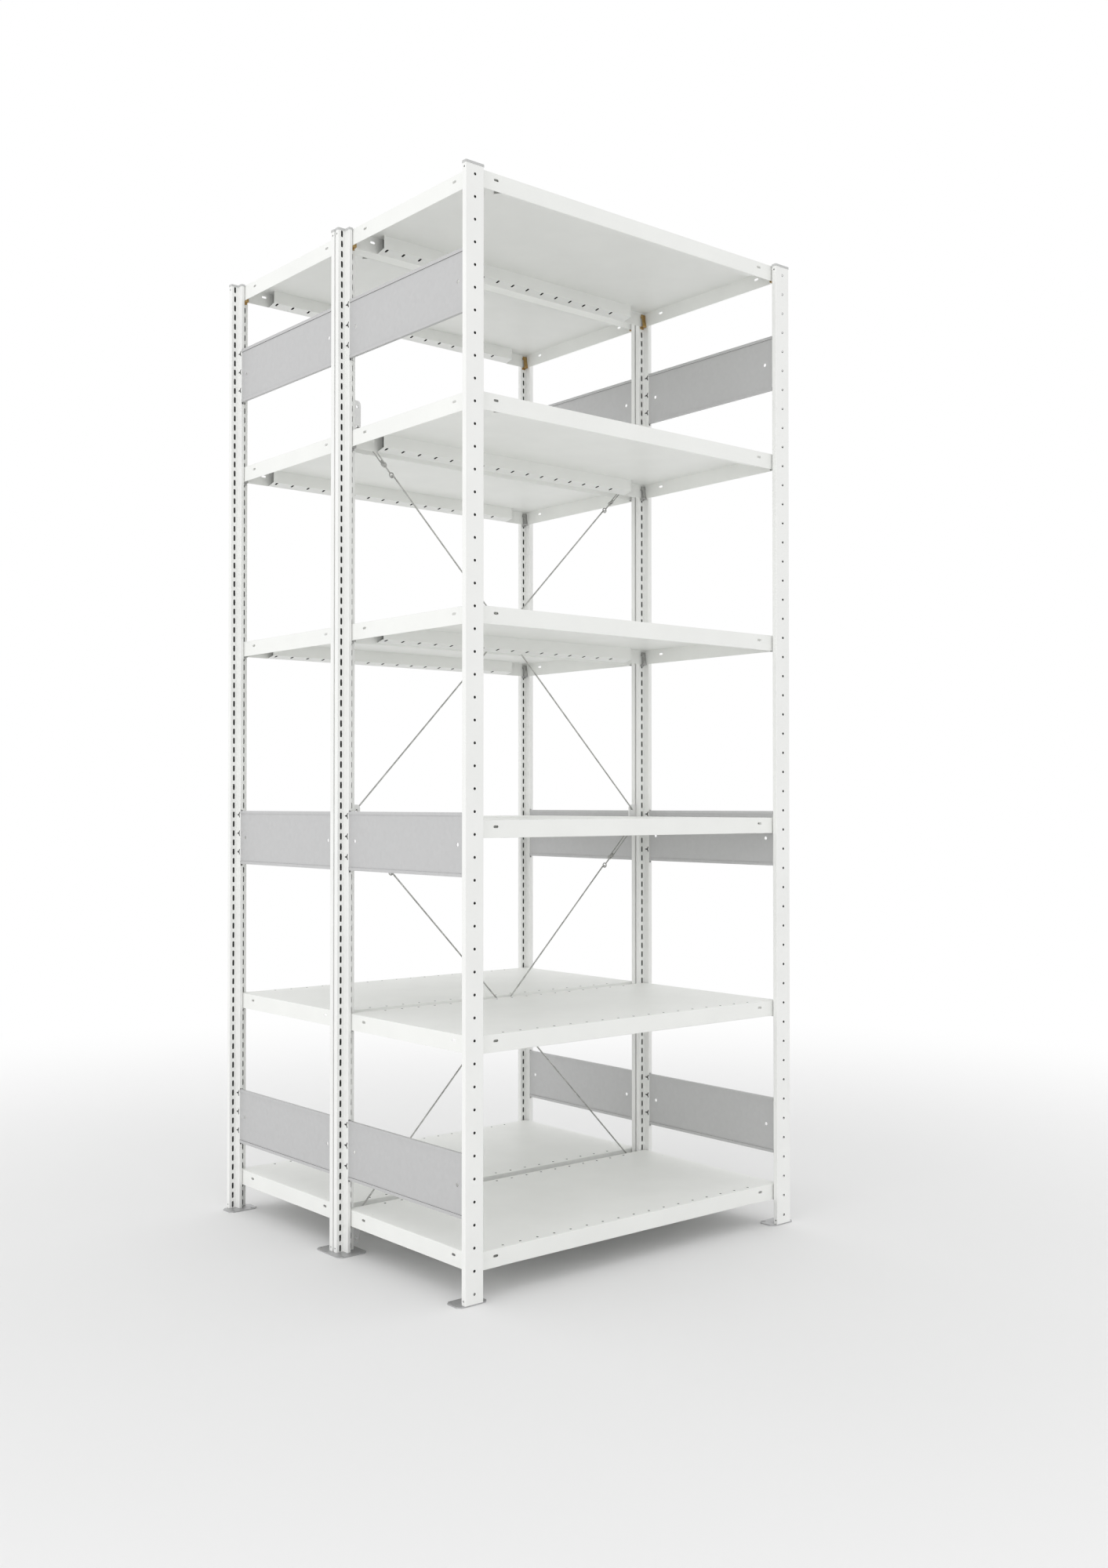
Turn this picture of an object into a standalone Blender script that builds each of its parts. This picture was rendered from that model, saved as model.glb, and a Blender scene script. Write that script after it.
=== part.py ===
"""Double-sided shelving unit: two bays of six lift-off shelves, back to back, on eight folded uprights.

Metres, +Z up. X runs along the shelves, Y from the front bay to the rear bay. The origin is on the
floor, in the middle of the unit.
"""

import math

import bmesh
import bpy
from mathutils import Matrix, Vector

# Punching grid that every height on the uprights follows
PUNCH_PITCH = 0.025

# Layout of the frame
UPRIGHT_SPACING = 1.0075
UPRIGHT_TOP = 2.500
BAY_INSIDE_DEPTH = 0.5056
GAP_BETWEEN_BAYS = 0.0051

# Upright section: a wide head with a narrow stem behind it, open at the stem's end
SHEET = 0.0015
HEAD_WIDTH = 0.050
HEAD_DEPTH = 0.014
STEM_WIDTH = 0.010
STEM_DEPTH = 0.031
BEND_RADIUS = 0.0025
BEND_STEPS = 2
SLOT_COLUMN_OFFSET = 0.0146

# Round holes down the middle of each head, one at every second step of the grid
HEAD_HOLE_DIAMETER = 0.0065
HEAD_HOLE_STEPS = 2
HEAD_HOLE_SIDES = 6

# Gap kept between pieces that touch
FIT = 0.0003

# End cap of an upright
CAP_WALL = 0.0006
CAP_THICKNESS = 0.0017
CAP_SKIRT = 0.0038

# Foot plate under an upright, with its tab inside the head
PLATE_THICKNESS = 0.003
PLATE_WIDTH = 0.082
PLATE_FRONT_SETBACK = 0.003
PLATE_PAST_STEM = 0.0075
PLATE_CHAMFER = 0.009
ANCHOR_OFFSET = 0.028
ANCHOR_INSET = 0.0065
ANCHOR_DIAMETER = 0.006
ANCHOR_SLOT_LENGTH = 0.012
TAB_WIDTH = 0.036
TAB_THICKNESS = 0.002
TAB_HEIGHT = 0.032

# Shelves
LEVEL_COUNT = 6
FIRST_LIP_BOTTOM = 0.066
LIP_HEIGHT = 0.040
SHELF_SHEET = 0.001
SHELF_END_CLEARANCE = 0.0012
SHELF_SIDE_CLEARANCE = 0.0028
FLANGE_WIDTH = 0.050
FLANGE_END_CUT = 0.022
LIP_SLOT_LENGTH = 0.014
LIP_SLOT_WIDTH = 0.006
LIP_SLOT_DROP = 0.015
LIP_SLOT_FROM_END = 0.066
LIP_SLOT_FROM_SIDE = 0.068

# Shelf clip: a ledge under the lip and a tongue behind it
CLIP_WIDTH = 0.012
CLIP_LEDGE_HEIGHT = 0.006
CLIP_LEDGE_REACH = 0.010
CLIP_TONGUE_SETBACK = 0.005
CLIP_TONGUE_THICKNESS = 0.0015
CLIP_TONGUE_HEIGHT = 0.031

# End panels: shallow channels held in the open stems
PANEL_HEIGHT = 0.143
PANEL_SHEET = 0.0012
PANEL_ENTRY = 0.025
PANEL_SIDE_CLEARANCE = 0.0003
FIRST_PANEL_BOTTOM = 0.180
SECOND_PANEL_BOTTOM = 0.930
TOP_PANEL_DROP = 0.320
PANEL_HOLE_DIAMETER = 0.005
PANEL_HOLE_FROM_END = 0.060

# Cross bracing in the gap between the bays
BRACKET_HEIGHT = 0.080
BRACKET_INNER_REACH = 0.015
BRACKET_OUTER_REACH = 0.050
BRACKET_CORNER = 0.010
BRACKET_HOLE_REACH = 0.040
BRACKET_HOLE_SPACING = 0.050
BRACKET_HOLE_DIAMETER = 0.008
FIRST_BRACKET_CENTRE = 0.050
TOP_BRACKET_DROP = 0.450
ROD_DIAMETER = 0.004
ROD_OFFSET = 0.0046
ROD_BEND = 0.003
PEG_REACH = 0.004
LOOP_WIRE = 0.003
LOOP_HALF_WIDTH = 0.006
LOOP_PLAY = 0.0012
LOOP_LENGTH = 0.115
NUT_HEIGHT = 0.006
NUT_LENGTH = 0.008
NUT_OVERHANG = 0.002
EYE_STEM_DIAMETER = 0.004
EYE_DISTANCE = 0.1466
EYE_RADIUS = 0.006
EYE_WIRE = 0.003

# How far a cutter runs past the surface that it cuts
OVERRUN = 0.002

# How far joined shapes run into each other
BITE = 0.0008

# Corners of a wire whose parts are closer than this are one
WELD_DISTANCE = 0.000003

# How finely round shapes are cut
HOLE_SIDES = 8
SLOT_END_STEPS = 3
WIRE_SIDES = 6
ROD_SIDES = 8
RING_STEPS = 12
LOOP_TURN_STEPS = 6
SHARP_ANGLE = math.radians(40)

# Sizes that follow from those above
SECTION_DEPTH = HEAD_DEPTH + STEM_DEPTH
BAY_DEPTH = BAY_INSIDE_DEPTH + 2 * HEAD_DEPTH
HALF_GAP = GAP_BETWEEN_BAYS / 2
OUTER_FACE = HALF_GAP + BAY_DEPTH
UPRIGHT_X = UPRIGHT_SPACING / 2
BAY_MIDDLE = HALF_GAP + BAY_DEPTH / 2
SHELF_LENGTH = UPRIGHT_SPACING - STEM_WIDTH - 2 * SHELF_END_CLEARANCE
SHELF_DEPTH = BAY_INSIDE_DEPTH - 2 * SHELF_SIDE_CLEARANCE
TOP_LIP_BOTTOM = UPRIGHT_TOP - LIP_HEIGHT
LEVEL_ROOM = (TOP_LIP_BOTTOM - FIRST_LIP_BOTTOM) / (LEVEL_COUNT - 1)
LEVEL_PITCH = math.floor(LEVEL_ROOM / PUNCH_PITCH) * PUNCH_PITCH
PANEL_BOTTOMS = (FIRST_PANEL_BOTTOM, SECOND_PANEL_BOTTOM, UPRIGHT_TOP - TOP_PANEL_DROP)
TOP_BRACKET_CENTRE = UPRIGHT_TOP - TOP_BRACKET_DROP
MIDDLE_BRACKET_CENTRE = (FIRST_BRACKET_CENTRE + TOP_BRACKET_CENTRE) / 2
BRACKET_CENTRES = (FIRST_BRACKET_CENTRE, MIDDLE_BRACKET_CENTRE, TOP_BRACKET_CENTRE)
ANCHOR_REACH = UPRIGHT_X - BRACKET_HOLE_REACH
BRACKET_THICKNESS = GAP_BETWEEN_BAYS - 2 * FIT

BAYS = {"front": -1, "rear": 1}
ENDS = {"left": -1, "right": 1}


def lip_bottoms():
    """Height of each shelf's lip bottom: an even pitch, and the top shelf flush with the uprights."""
    heights = [FIRST_LIP_BOTTOM + level * LEVEL_PITCH for level in range(LEVEL_COUNT - 1)]
    return heights + [TOP_LIP_BOTTOM]


def clear_scene():
    for obj in list(bpy.data.objects):
        bpy.data.objects.remove(obj, do_unlink=True)


def make_material(name, colour, roughness, metallic):
    material = bpy.data.materials.new(name)
    material.use_nodes = True
    shader = material.node_tree.nodes["Principled BSDF"]
    shader.inputs["Base Color"].default_value = (*colour, 1.0)
    shader.inputs["Roughness"].default_value = roughness
    shader.inputs["Metallic"].default_value = metallic
    return material


def arc_at_corner(before, corner, after, radius, steps):
    """Points that round a square corner of a path."""
    if radius == 0:
        return [corner]
    to_before = (before - corner).normalized()
    to_after = (after - corner).normalized()
    centre = corner + radius * (to_before + to_after)
    points = []
    for step in range(steps + 1):
        angle = math.pi / 2 * step / steps
        offset = to_after * math.cos(angle) + to_before * math.sin(angle)
        points.append(centre - radius * offset)
    return points


def rounded(corners, radii, steps, closed):
    """A path through square corners, each rounded with its own radius."""
    count = len(corners)
    points = []
    for index, corner in enumerate(corners):
        at_end = not closed and index in (0, count - 1)
        radius = 0 if at_end else radii[index]
        before = corners[index - 1]
        after = corners[(index + 1) % count]
        points += arc_at_corner(before, corner, after, radius, steps)
    return points


def section_corners(grow):
    """Corners of the head and stem outline, from one stem end round to the other, grown outwards."""
    stem = STEM_WIDTH / 2 + grow
    wing = HEAD_WIDTH / 2 + grow
    shoulder = HEAD_DEPTH + grow
    half = [(stem, SECTION_DEPTH + max(grow, 0)), (stem, shoulder), (wing, shoulder), (wing, -grow)]
    left = [Vector((-across, depth)) for across, depth in half]
    right = [Vector((across, depth)) for across, depth in reversed(half)]
    return left + right


def mirrored_radii(stem_corner, head_corner):
    half = [0, stem_corner, head_corner, head_corner]
    return half + half[::-1]


def sheet_section():
    """Closed outline of the folded sheet: its outer side, and its inner side back again."""
    inner_bend = BEND_RADIUS - SHEET
    outer = rounded(section_corners(0), mirrored_radii(inner_bend, BEND_RADIUS), BEND_STEPS, False)
    inner = rounded(section_corners(-SHEET), mirrored_radii(BEND_RADIUS, inner_bend), BEND_STEPS, False)
    return outer + inner[::-1]


def cap_section(grow):
    return rounded(section_corners(grow), mirrored_radii(BEND_RADIUS, BEND_RADIUS), BEND_STEPS, True)


def box_outline(low_a, low_b, high_a, high_b):
    return [Vector(p) for p in ((low_a, low_b), (high_a, low_b), (high_a, high_b), (low_a, high_b))]


def round_outline(centre_a, centre_b, diameter, sides=HOLE_SIDES):
    points = []
    for side in range(sides):
        angle = 2 * math.pi * (side + 0.5) / sides
        offset = Vector((math.cos(angle), math.sin(angle))) * diameter / 2
        points.append(Vector((centre_a, centre_b)) + offset)
    return points


def slot_outline(centre_a, centre_b, length, width, turn=0.0):
    """A slot with round ends, its long side turned from the first axis by an angle."""
    points = []
    for end in (1, -1):
        for step in range(SLOT_END_STEPS + 1):
            angle = math.pi * (step / SLOT_END_STEPS - 0.5)
            along = end * ((length - width) / 2 + width / 2 * math.cos(angle))
            across = end * width / 2 * math.sin(angle)
            point = Vector((along, across))
            point.rotate(Matrix.Rotation(turn, 2))
            points.append(Vector((centre_a, centre_b)) + point)
    return points


def prism(outline, low, high, axis="Z"):
    """Closed mesh of a flat outline carried from low to high along an axis."""
    place = {
        "X": lambda point, level: (level, point[0], point[1]),
        "Y": lambda point, level: (point[0], level, point[1]),
        "Z": lambda point, level: (point[0], point[1], level),
    }[axis]
    shape = bmesh.new()
    first = [shape.verts.new(place(point, low)) for point in outline]
    last = [shape.verts.new(place(point, high)) for point in outline]
    shape.faces.new(first)
    shape.faces.new(last)
    count = len(outline)
    for index in range(count):
        after = (index + 1) % count
        shape.faces.new((first[index], first[after], last[after], last[index]))
    bmesh.ops.recalc_face_normals(shape, faces=shape.faces)
    mesh = bpy.data.meshes.new("shape")
    shape.to_mesh(mesh)
    shape.free()
    return mesh


def combine(base, tools, operation):
    """The base mesh after one Boolean with each of the tools."""
    scene = bpy.context.scene.collection
    body = bpy.data.objects.new("body", base)
    scene.objects.link(body)
    helpers = []
    for tool in tools:
        helper = bpy.data.objects.new("tool", tool)
        helper.hide_render = True
        helper.display_type = "WIRE"
        scene.objects.link(helper)
        step = body.modifiers.new("step", "BOOLEAN")
        step.operation = operation
        step.solver = "EXACT"
        step.object = helper
        helpers.append(helper)
    bpy.context.view_layer.update()
    graph = bpy.context.evaluated_depsgraph_get()
    result = bpy.data.meshes.new_from_object(body.evaluated_get(graph))
    for helper in [body, *helpers]:
        bpy.data.objects.remove(helper, do_unlink=True)
    return result


def tube(points, diameter, sides=WIRE_SIDES):
    """Closed mesh of a round wire along a line of points."""
    curve = bpy.data.curves.new("wire", "CURVE")
    curve.dimensions = "3D"
    curve.bevel_depth = diameter / 2
    curve.bevel_resolution = sides // 2 - 2
    curve.use_fill_caps = True
    line = curve.splines.new("POLY")
    line.points.add(len(points) - 1)
    for spot, point in zip(line.points, points):
        spot.co = (*point, 1.0)
    wire = bpy.data.objects.new("wire", curve)
    bpy.context.scene.collection.objects.link(wire)
    bpy.context.view_layer.update()
    graph = bpy.context.evaluated_depsgraph_get()
    mesh = bpy.data.meshes.new_from_object(wire.evaluated_get(graph))
    bpy.data.objects.remove(wire, do_unlink=True)
    weld(mesh)
    return mesh


def weld(mesh):
    """Joins the caps of a wire to its side, with every face out."""
    shape = bmesh.new()
    shape.from_mesh(mesh)
    bmesh.ops.remove_doubles(shape, verts=shape.verts, dist=WELD_DISTANCE)
    bmesh.ops.recalc_face_normals(shape, faces=shape.faces)
    shape.to_mesh(mesh)
    shape.free()


def ring(centre, radius, wire_diameter):
    """Closed mesh of a round ring that stands in the X-Z plane."""
    shape = bmesh.new()
    loops = []
    for turn in range(RING_STEPS):
        angle = 2 * math.pi * turn / RING_STEPS
        out = Vector((math.cos(angle), 0, math.sin(angle)))
        loop = []
        for side in range(WIRE_SIDES):
            tilt = 2 * math.pi * side / WIRE_SIDES
            reach = radius + wire_diameter / 2 * math.cos(tilt)
            lift = Vector((0, wire_diameter / 2 * math.sin(tilt), 0))
            loop.append(shape.verts.new(centre + out * reach + lift))
        loops.append(loop)
    for turn in range(RING_STEPS):
        here = loops[turn]
        there = loops[(turn + 1) % RING_STEPS]
        for side in range(WIRE_SIDES):
            after = (side + 1) % WIRE_SIDES
            shape.faces.new((here[side], here[after], there[after], there[side]))
    bmesh.ops.recalc_face_normals(shape, faces=shape.faces)
    mesh = bpy.data.meshes.new("ring")
    shape.to_mesh(mesh)
    shape.free()
    return mesh


def add_node(name, mesh, material, location=(0, 0, 0), turn=0.0):
    if not mesh.materials:
        mesh.materials.append(material)
    obj = bpy.data.objects.new(name, mesh)
    obj.location = location
    obj.rotation_euler = (0, 0, turn)
    bpy.context.scene.collection.objects.link(obj)
    return obj


def smooth(mesh):
    mesh.shade_smooth()
    mesh.set_sharp_from_angle(angle=SHARP_ANGLE)


def upright_places():
    """Name, position, turn and shelf side of each upright.

    An upright's own frame has its head's face at y = 0 and its stem towards +y.
    """
    for bay, bay_sign in BAYS.items():
        for line in ("outer", "inner"):
            face = OUTER_FACE if line == "outer" else HALF_GAP
            stem_sign = -bay_sign if line == "outer" else bay_sign
            turn = 0.0 if stem_sign > 0 else math.pi
            for end, end_sign in ENDS.items():
                shelf_side = -end_sign * stem_sign
                spot = (end_sign * UPRIGHT_X, bay_sign * face, 0.0)
                yield f"{bay}_{end}_{line}", spot, turn, shelf_side


def clip_mesh(lip_bottom, side):
    """One shelf clip in the upright's frame.

    Its ledge bites into the shoulder and carries the lip, and its tongue stands behind the lip.
    """
    ledge_top = lip_bottom - FIT
    ledge_bottom = ledge_top - CLIP_LEDGE_HEIGHT
    root = HEAD_DEPTH - BITE
    ledge_end = HEAD_DEPTH + CLIP_LEDGE_REACH
    tongue_front = HEAD_DEPTH + CLIP_TONGUE_SETBACK
    tongue_back = tongue_front + CLIP_TONGUE_THICKNESS
    tongue_top = ledge_top + CLIP_TONGUE_HEIGHT
    corners = (
        (root, ledge_bottom),
        (ledge_end, ledge_bottom),
        (ledge_end, ledge_top),
        (tongue_back, ledge_top),
        (tongue_back, tongue_top),
        (tongue_front, tongue_top),
        (tongue_front, ledge_top),
        (root, ledge_top),
    )
    middle = side * SLOT_COLUMN_OFFSET
    outline = [Vector(corner) for corner in corners]
    return prism(outline, middle - CLIP_WIDTH / 2, middle + CLIP_WIDTH / 2, "X")


def head_hole_cutter():
    """All the round holes of one head as one mesh of separate pegs through its face."""
    step = HEAD_HOLE_STEPS * PUNCH_PITCH
    shape = bmesh.new()
    for number in range(math.floor(UPRIGHT_TOP / step)):
        height = PUNCH_PITCH + number * step
        outline = round_outline(0, height, HEAD_HOLE_DIAMETER, HEAD_HOLE_SIDES)
        shape.from_mesh(prism(outline, -OVERRUN, SHEET + OVERRUN, "Y"))
    mesh = bpy.data.meshes.new("pegs")
    shape.to_mesh(mesh)
    shape.free()
    return mesh


def upright_mesh(side):
    base = prism(sheet_section(), PLATE_THICKNESS + FIT, UPRIGHT_TOP)
    punched = combine(base, [head_hole_cutter()], "DIFFERENCE")
    clips = [clip_mesh(lip_bottom, side) for lip_bottom in lip_bottoms()]
    return combine(punched, clips, "UNION")


def make_uprights(material):
    meshes = {side: upright_mesh(side) for side in (1, -1)}
    for name, spot, turn, shelf_side in upright_places():
        add_node(f"upright_{name}", meshes[shelf_side], material, spot, turn)


def make_caps(material):
    ceiling = UPRIGHT_TOP + FIT
    bottom = ceiling - CAP_SKIRT
    shell = prism(cap_section(FIT + CAP_WALL), bottom, ceiling + CAP_THICKNESS)
    hollow = prism(cap_section(FIT), bottom - OVERRUN, ceiling)
    mesh = combine(shell, [hollow], "DIFFERENCE")
    for name, spot, turn, _ in upright_places():
        add_node(f"cap_{name}", mesh, material, spot, turn)


def plate_outline(low, high):
    """A foot plate's outline between two depths, its corners cut off."""
    half = PLATE_WIDTH / 2
    cut = PLATE_CHAMFER
    return [
        Vector((-half + cut, low)),
        Vector((half - cut, low)),
        Vector((half, low + cut)),
        Vector((half, high - cut)),
        Vector((half - cut, high)),
        Vector((-half + cut, high)),
        Vector((-half, high - cut)),
        Vector((-half, low + cut)),
    ]


def anchor_cutters(depth, end_sign, stem_sign):
    """A round anchor hole towards the unit's outside and a slanted anchor slot towards its inside."""
    outside = end_sign * ANCHOR_OFFSET
    hole = round_outline(outside, depth, ANCHOR_DIAMETER)
    slant = -end_sign * stem_sign * math.pi / 4
    slot = slot_outline(-outside, depth, ANCHOR_SLOT_LENGTH, ANCHOR_DIAMETER, slant)
    return [prism(outline, -OVERRUN, PLATE_THICKNESS + OVERRUN) for outline in (hole, slot)]


def head_tab(face, stem_sign):
    """The tab that stands inside an upright's head, just behind its face."""
    near = face + stem_sign * (SHEET + FIT)
    far = near + stem_sign * TAB_THICKNESS
    outline = box_outline(-TAB_WIDTH / 2, min(near, far), TAB_WIDTH / 2, max(near, far))
    return prism(outline, PLATE_THICKNESS - BITE, PLATE_THICKNESS + TAB_HEIGHT)


def foot_plate_mesh(low, high, faces, end_sign):
    """A plate between two depths; faces lists the head face and the stem direction of each upright on it."""
    base = prism(plate_outline(low, high), 0, PLATE_THICKNESS)
    tabs = [head_tab(face, stem_sign) for face, stem_sign in faces]
    plate = combine(base, tabs, "UNION")
    cutters = []
    for face, stem_sign in faces:
        edge = face + stem_sign * (SECTION_DEPTH + PLATE_PAST_STEM)
        cutters += anchor_cutters(edge - stem_sign * ANCHOR_INSET, end_sign, stem_sign)
    return combine(plate, cutters, "DIFFERENCE")


def make_foot_plates(material):
    inner_edge = HALF_GAP + SECTION_DEPTH + PLATE_PAST_STEM
    front_edge = OUTER_FACE - PLATE_FRONT_SETBACK
    back_edge = OUTER_FACE - SECTION_DEPTH - PLATE_PAST_STEM
    for end, end_sign in ENDS.items():
        place = (end_sign * UPRIGHT_X, 0, 0)
        for bay, bay_sign in BAYS.items():
            low, high = sorted((bay_sign * front_edge, bay_sign * back_edge))
            faces = [(bay_sign * OUTER_FACE, -bay_sign)]
            mesh = foot_plate_mesh(low, high, faces, end_sign)
            add_node(f"foot_plate_{bay}_{end}", mesh, material, place)
        faces = [(bay_sign * HALF_GAP, bay_sign) for bay_sign in BAYS.values()]
        mesh = foot_plate_mesh(-inner_edge, inner_edge, faces, end_sign)
        add_node(f"foot_plate_middle_{end}", mesh, material, place)


def lip_slot_cutters():
    """Slots near both ends of all four lips; each cutter runs through two facing lips."""
    half_length = SHELF_LENGTH / 2
    half_depth = SHELF_DEPTH / 2
    height = LIP_HEIGHT - LIP_SLOT_DROP
    cutters = []
    for sign in (-1, 1):
        across = sign * (half_length - LIP_SLOT_FROM_END)
        outline = slot_outline(across, height, LIP_SLOT_LENGTH, LIP_SLOT_WIDTH)
        cutters.append(prism(outline, -half_depth - OVERRUN, half_depth + OVERRUN, "Y"))
        along = sign * (half_depth - LIP_SLOT_FROM_SIDE)
        outline = slot_outline(along, height, LIP_SLOT_LENGTH, LIP_SLOT_WIDTH)
        cutters.append(prism(outline, -half_length - OVERRUN, half_length + OVERRUN, "X"))
    return cutters


def shelf_mesh():
    """A pressed tray upside down: deck, four lips, and a return flange under each long lip."""
    half_length = SHELF_LENGTH / 2
    half_depth = SHELF_DEPTH / 2
    base = prism(box_outline(-half_length, -half_depth, half_length, half_depth), 0, LIP_HEIGHT)
    inner_x = half_length - SHELF_SHEET
    inner_y = half_depth - SHELF_SHEET
    ceiling = LIP_HEIGHT - SHELF_SHEET
    hollow = prism(box_outline(-inner_x, -inner_y, inner_x, inner_y), SHELF_SHEET, ceiling)
    mouth_y = half_depth - FLANGE_WIDTH
    mouth = prism(box_outline(-inner_x, -mouth_y, inner_x, mouth_y), -OVERRUN, SHELF_SHEET + OVERRUN)
    corner_cuts = []
    for sign in (-1, 1):
        low, high = sorted((sign * inner_x, sign * (half_length - FLANGE_END_CUT)))
        outline = box_outline(low, -inner_y, high, inner_y)
        corner_cuts.append(prism(outline, -OVERRUN, SHELF_SHEET + OVERRUN))
    cavity = combine(hollow, [mouth, *corner_cuts], "UNION")
    return combine(base, [cavity, *lip_slot_cutters()], "DIFFERENCE")


def make_shelves(material):
    mesh = shelf_mesh()
    for bay, bay_sign in BAYS.items():
        for level, lip_bottom in enumerate(lip_bottoms(), start=1):
            spot = (0, bay_sign * BAY_MIDDLE, lip_bottom)
            add_node(f"shelf_{bay}_{level}", mesh, material, spot)


def panel_mesh(end_sign):
    """A channel that fits between the stem walls, its web to the outside and its edges folded inwards."""
    half_width = STEM_WIDTH / 2 - SHEET - PANEL_SIDE_CLEARANCE
    outer = end_sign * half_width
    inner = -end_sign * half_width
    web = end_sign * (half_width - PANEL_SHEET)
    corners = (
        (outer, 0),
        (outer, PANEL_HEIGHT),
        (inner, PANEL_HEIGHT),
        (inner, PANEL_HEIGHT - PANEL_SHEET),
        (web, PANEL_HEIGHT - PANEL_SHEET),
        (web, PANEL_SHEET),
        (inner, PANEL_SHEET),
        (inner, 0),
    )
    half_length = BAY_INSIDE_DEPTH / 2 - STEM_DEPTH + PANEL_ENTRY
    base = prism([Vector(corner) for corner in corners], -half_length, half_length, "Y")
    holes = []
    for sign in (-1, 1):
        along = sign * (half_length - PANEL_HOLE_FROM_END)
        outline = round_outline(along, PANEL_HEIGHT / 2, PANEL_HOLE_DIAMETER)
        holes.append(prism(outline, -half_width - OVERRUN, half_width + OVERRUN, "X"))
    return combine(base, holes, "DIFFERENCE")


def make_end_panels(material):
    for end, end_sign in ENDS.items():
        mesh = panel_mesh(end_sign)
        for bay, bay_sign in BAYS.items():
            for number, bottom in enumerate(PANEL_BOTTOMS, start=1):
                spot = (end_sign * UPRIGHT_X, bay_sign * BAY_MIDDLE, bottom)
                add_node(f"end_panel_{bay}_{end}_{number}", mesh, material, spot)


def bracket_mesh(end_sign):
    """A plate that stands between two heads and carries two holes beside them."""
    half = BRACKET_HEIGHT / 2
    inside = -end_sign
    corners = [
        Vector((-inside * BRACKET_INNER_REACH, -half)),
        Vector((inside * BRACKET_OUTER_REACH, -half)),
        Vector((inside * BRACKET_OUTER_REACH, half)),
        Vector((-inside * BRACKET_INNER_REACH, half)),
    ]
    outline = rounded(corners, [0, BRACKET_CORNER, BRACKET_CORNER, 0], BEND_STEPS, True)
    low = -BRACKET_THICKNESS / 2
    high = BRACKET_THICKNESS / 2
    holes = []
    for sign in (-1, 1):
        height = sign * BRACKET_HOLE_SPACING / 2
        hole = round_outline(inside * BRACKET_HOLE_REACH, height, BRACKET_HOLE_DIAMETER)
        holes.append(prism(hole, low - OVERRUN, high + OVERRUN, "Y"))
    return combine(prism(outline, low, high, "Y"), holes, "DIFFERENCE")


def make_brackets(material):
    for end, end_sign in ENDS.items():
        mesh = bracket_mesh(end_sign)
        for number, centre in enumerate(BRACKET_CENTRES, start=1):
            add_node(f"brace_bracket_{end}_{number}", mesh, material, (end_sign * UPRIGHT_X, 0, centre))


def brace_frame(start_sign, lower_centre, upper_centre):
    """Where a brace hangs, where it ends and its direction; it starts at the end named by start_sign."""
    half = BRACKET_HOLE_SPACING / 2
    hung = Vector((start_sign * ANCHOR_REACH, 0, upper_centre - half))
    held = Vector((-start_sign * ANCHOR_REACH, 0, lower_centre + half))
    return hung, held, (held - hung).normalized()


def rod_points(first, last, along, across):
    """A straight rod with a peg bent back towards the middle plane at both ends."""
    offset = across * ROD_OFFSET
    tip = -across * PEG_REACH
    inward = -across
    points = [first + tip]
    points += bend(first + offset, inward, along)
    points += bend(last + offset, -along, inward)
    points.append(last + tip)
    return points


def bend(corner, before, after):
    """Three points that round a square corner between two directions."""
    middle = (before + after) * (1 - math.cos(math.pi / 4))
    return [corner + ROD_BEND * before, corner + ROD_BEND * middle, corner + ROD_BEND * after]


def tensioner_mesh(hung, along):
    """A wire loop through the bracket, a nut across its strands, and an eye on a threaded stem."""
    across = Vector((0, 1, 0))
    loop = [hung + along * LOOP_LENGTH - across * LOOP_HALF_WIDTH]
    for step in range(LOOP_TURN_STEPS + 1):
        angle = math.pi * (step / LOOP_TURN_STEPS - 0.5)
        forward = LOOP_HALF_WIDTH * (1 - math.cos(angle))
        loop.append(hung + along * forward + across * LOOP_HALF_WIDTH * math.sin(angle))
    loop.append(hung + along * LOOP_LENGTH + across * LOOP_HALF_WIDTH)
    base = tube(loop, LOOP_WIRE)
    eye_start = EYE_DISTANCE - EYE_RADIUS
    stem_start = LOOP_LENGTH - NUT_LENGTH
    stem = tube([hung + along * stem_start, hung + along * eye_start], EYE_STEM_DIAMETER)
    eye = ring(hung + along * EYE_DISTANCE, EYE_RADIUS, EYE_WIRE)
    return combine(base, [nut_mesh(hung, along), stem, eye], "UNION")


def nut_mesh(hung, along):
    """A block across both strands of the loop, square to the brace."""
    half_width = LOOP_HALF_WIDTH + LOOP_WIRE
    outline = box_outline(-NUT_LENGTH / 2, -half_width, NUT_LENGTH / 2, half_width)
    mesh = prism(outline, -NUT_HEIGHT / 2, NUT_HEIGHT / 2)
    frame = Matrix((along, Vector((0, 1, 0)), along.cross(Vector((0, 1, 0))))).transposed()
    middle = hung + along * (LOOP_LENGTH + NUT_OVERHANG - NUT_LENGTH / 2)
    mesh.transform(Matrix.Translation(middle) @ frame.to_4x4())
    return mesh


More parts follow.
